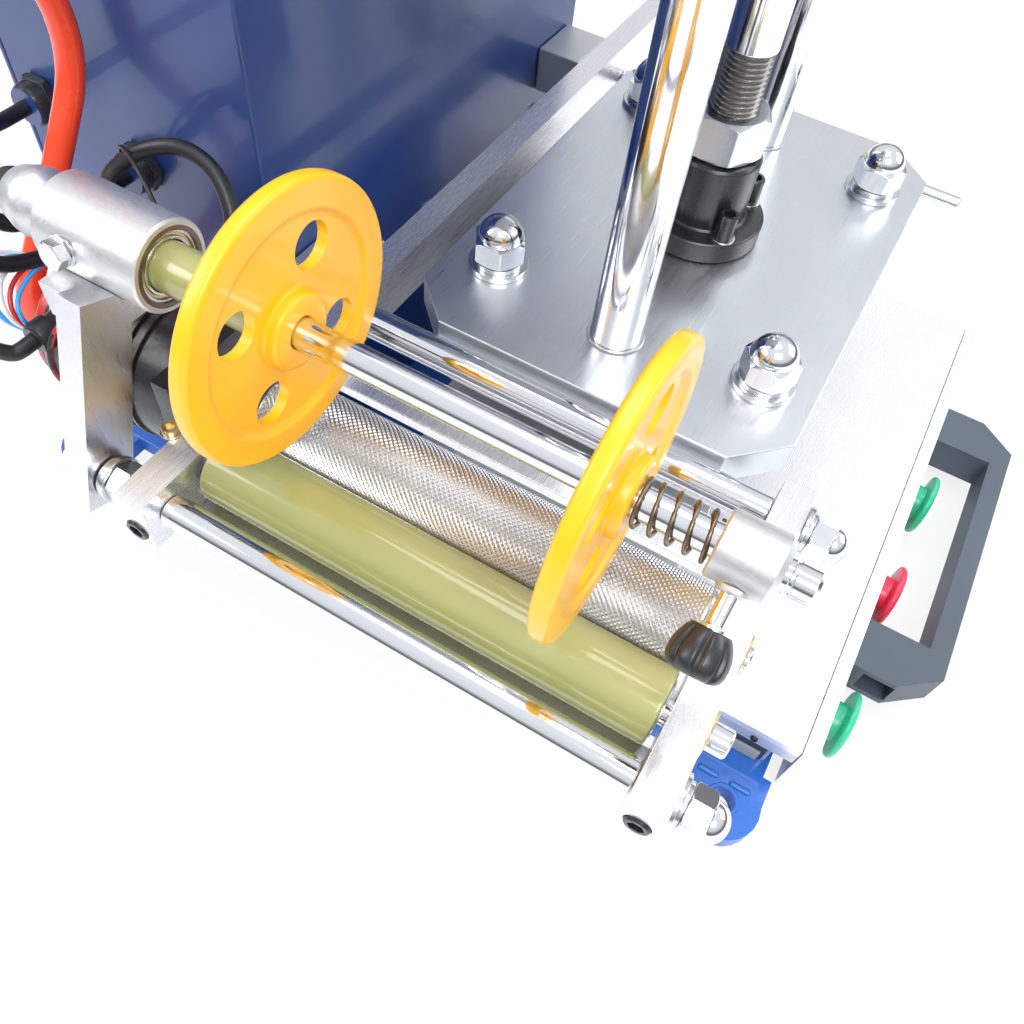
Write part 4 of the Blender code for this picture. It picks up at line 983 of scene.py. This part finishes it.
def build_tower():
    softened("tower_shell", 1.4, BLUE, "frame", segments=3)
    softened("tower_rear_cover", 0.7, BLUE, "frame")
    rear = span("tower_rear_cover")[1].y
    for x in (-140, 140):
        for z in (40, 180, 320, 450):
            socket_screw(f"rear_screw_{x}_{z}", (x, rear, z), BACK, 3.4, "frame", head=2.2)
    for number, (y, z) in enumerate(FITTINGS):
        metal = BRASS if number < 2 else BLACK
        hex_piece(f"gland_nut_{number}", (TOWER_SIDE_X - 0.2, y, z), LEFT, 21, 5, metal, "frame", bore=8.6)
        lathe(f"gland_cap_{number}", (TOWER_SIDE_X - 5.2, y, z), LEFT,
              [(8.8, 0), (10.1, 0), (10.1, 4.2), (9.2, 6.2), (8.8, 6.3)], metal, "frame", loop=True,
              steps=56, edge=0.15)
    block("tower_side_panel", (TOWER_SIDE_X - 1, 172, 34), (TOWER_SIDE_X + 0.4, 300, 90), BLUE, "frame")
    for y in (180, 292):
        for z in (42, 82):
            socket_screw(f"panel_screw_{y}_{z}", (TOWER_SIDE_X - 1, y, z), LEFT, 3, "frame", head=1.8)
    for row in range(6):
        z = 40 + row * 9
        block(f"louvre_{row}", (158.0, 190, z), (160.2, 280, z + 3.4), BLUE, "frame", edge=1.0)


def build_bridge():
    softened("bridge_plate", 1, PAINTED_STEEL, "frame")
    for side in ("left", "right"):
        node = "guide_bush_" + side
        lathe("look_" + node, foot(node), UP,
              [(12.8, 0), (27.7, 0), (28.5, 0.8), (28.5, 7), (27.7, 7.7), (20.5, 7.7), (20.5, 33),
               (19.4, 34), (14, 34), (12.8, 33)], TURNED, "frame", (node,), loop=True, edge=0.2)
        for quarter, at in enumerate(diagonals(centre(node), 24.3, span(node)[0].z)):
            socket_screw(f"{node}_screw_{quarter}", at, DOWN, 2.7, "frame", head=2.6, washer=False)
    softened("cylinder_body", 0.9, CAST, "frame")
    low, high = span("cylinder_body")
    middle = centre("cylinder_body")
    reach = (high.x - low.x) / 2 - 9
    for sx, sy in SIGNS:
        x, y = middle.x + sx * reach, middle.y + sy * reach
        socket_screw(f"cylinder_screw_{sx}_{sy}", (x, y, high.z), UP, 5, "frame", head=4)
        lathe(f"cylinder_tie_{sx}_{sy}", (x, y, low.z + 20), UP,
              bar_profile(3.6, high.z - low.z - 40, 0.2), ZINC, "frame", steps=32, edge=0)
    for z in (low.z + 12, high.z - 12):
        hex_piece(f"cylinder_port_{round(z)}", (low.x, middle.y, z), LEFT, 14, 5, BRASS, "frame")
        lathe(f"cylinder_elbow_{round(z)}", (low.x - 5, middle.y, z), LEFT,
              [(0, 0), (5.4, 0), (5.4, 6), (4.6, 7), (0, 7)], RUBBER, "frame", steps=40, edge=0.3)
    lathe("cylinder_cap", (middle.x, middle.y, high.z - 0.2), UP,
          [(0, 0), (20, 0), (20, 1.4), (18.8, 2), (0, 2)], BLACK, "frame", edge=0.2)


# ---------------------------------------------------------------- gear motor and loose wires
def build_motor():
    softened("gear_motor", 0.9, BLACK, "frame")
    face_y = span("gear_motor")[0].y
    axis = centre("knurled_roller")
    softened("motor_cover", 0.7, MOTOR_RED, "frame")
    bands = [(f"motor_fin_{number}", y, 36.4, 2.4, BLACK) for number, y in enumerate((162, 168, 174, 180))]
    bands += [(f"motor_band_{y}", y, 36, 4, DARK_STEEL) for y in (138, 208)]
    for name, y, radius, width, metal in bands:
        lathe(name, (axis.x, y, axis.z), BACK,
              [(34.8, 0), (radius, 0.2), (radius, width - 0.2), (34.8, width)], metal, "frame",
              loop=True, edge=0.2)
    for sx, sz in SIGNS:
        socket_screw(f"motor_screw_{sx}_{sz}", (axis.x + sx * 30, face_y - 0.1, axis.z + sz * 29), FRONT,
                     2.6, "frame", head=2.2, washer=False)
    for name, place, facing in (("top_gland", MOTOR_TOP_GLAND, UP), ("side_gland", MOTOR_SIDE_GLAND, LEFT)):
        lathe(name, Vector(place) - facing * 9, facing,
              [(4, 0), (7.2, 0), (7.2, 5.6), (6.4, 8.2), (4.4, 8.8), (4, 8.8)], RUBBER, "frame",
              loop=True, steps=48, edge=0.2)


def build_wires():
    """Thin leads at the motor's end and along the bracket."""
    bundle = Vector((-222, 214, 197))
    for number, (material, spread) in enumerate(((WHITE_WIRE, 0), (BLUE_WIRE, 3.2), (WHITE_WIRE, 6.0),
                                                 (MOTOR_RED, -3.0), (BLUE_WIRE, -5.4))):
        out = 11 + spread * 0.9
        offsets = [(spread * 0.7, 3, -6), (-7, 6 + spread * 0.2, 3),
                   (-16 - out * 0.4, 8 + spread, 11 + spread * 0.6),
                   (-27 - out * 0.5, 6 + spread, 10 + spread), (-33 - out * 0.5, 2 + spread, 0),
                   (-31 - out * 0.4, -1 + spread * 0.6, -10), (-24 - spread, -4, -17)]
        points = [bundle + Vector(offset) for offset in offsets]
        wire(f"lead_{number}", smooth_route(points, 40), 1.05, material, "frame")
    for number, (material, lift) in enumerate(((RUBBER, 0), (MOTOR_RED, 2.4))):
        points = [(-206, 146, 203), (-212, 149, 214 + lift), (-226, 158, 222 + lift), (-245, 171, 217 + lift),
                  (-262, 184, 203), (-268, 186, 185), (-263, 181, 168), (-257, 176, 160)]
        wire(f"motor_lead_{number}", smooth_route(points, 48), 1.2, material, "frame")
    socket_screw("bracket_brass_screw", (-262, 131, 176.2), UP, 3.6, "frame", BRASS, head=3)
    points = [(-172, 228, 214), (-181, 216, 232), (-190, 200, 240), (-199, 183, 238), (-207, 168, 228),
              (-211, 156, 212), (-210, 147, 200)]
    wire("sensor_lead", smooth_route(points, 48), 1.0, RUBBER, "frame")


build_cords()
build_reels()
build_clamp()
build_spring()
build_bearing()
build_arms()
build_rollers()
build_press()
build_drawer()
build_base()
build_tower()
build_bridge()
build_motor()
build_wires()


# ---------------------------------------------------------------- motion: pieces onto their bodies
bpy.context.view_layer.update()
for piece in PIECES:
    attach(piece, piece["body_name"])
for piece, axis, front_y, back_y in SQUASHED:
    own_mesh(piece)
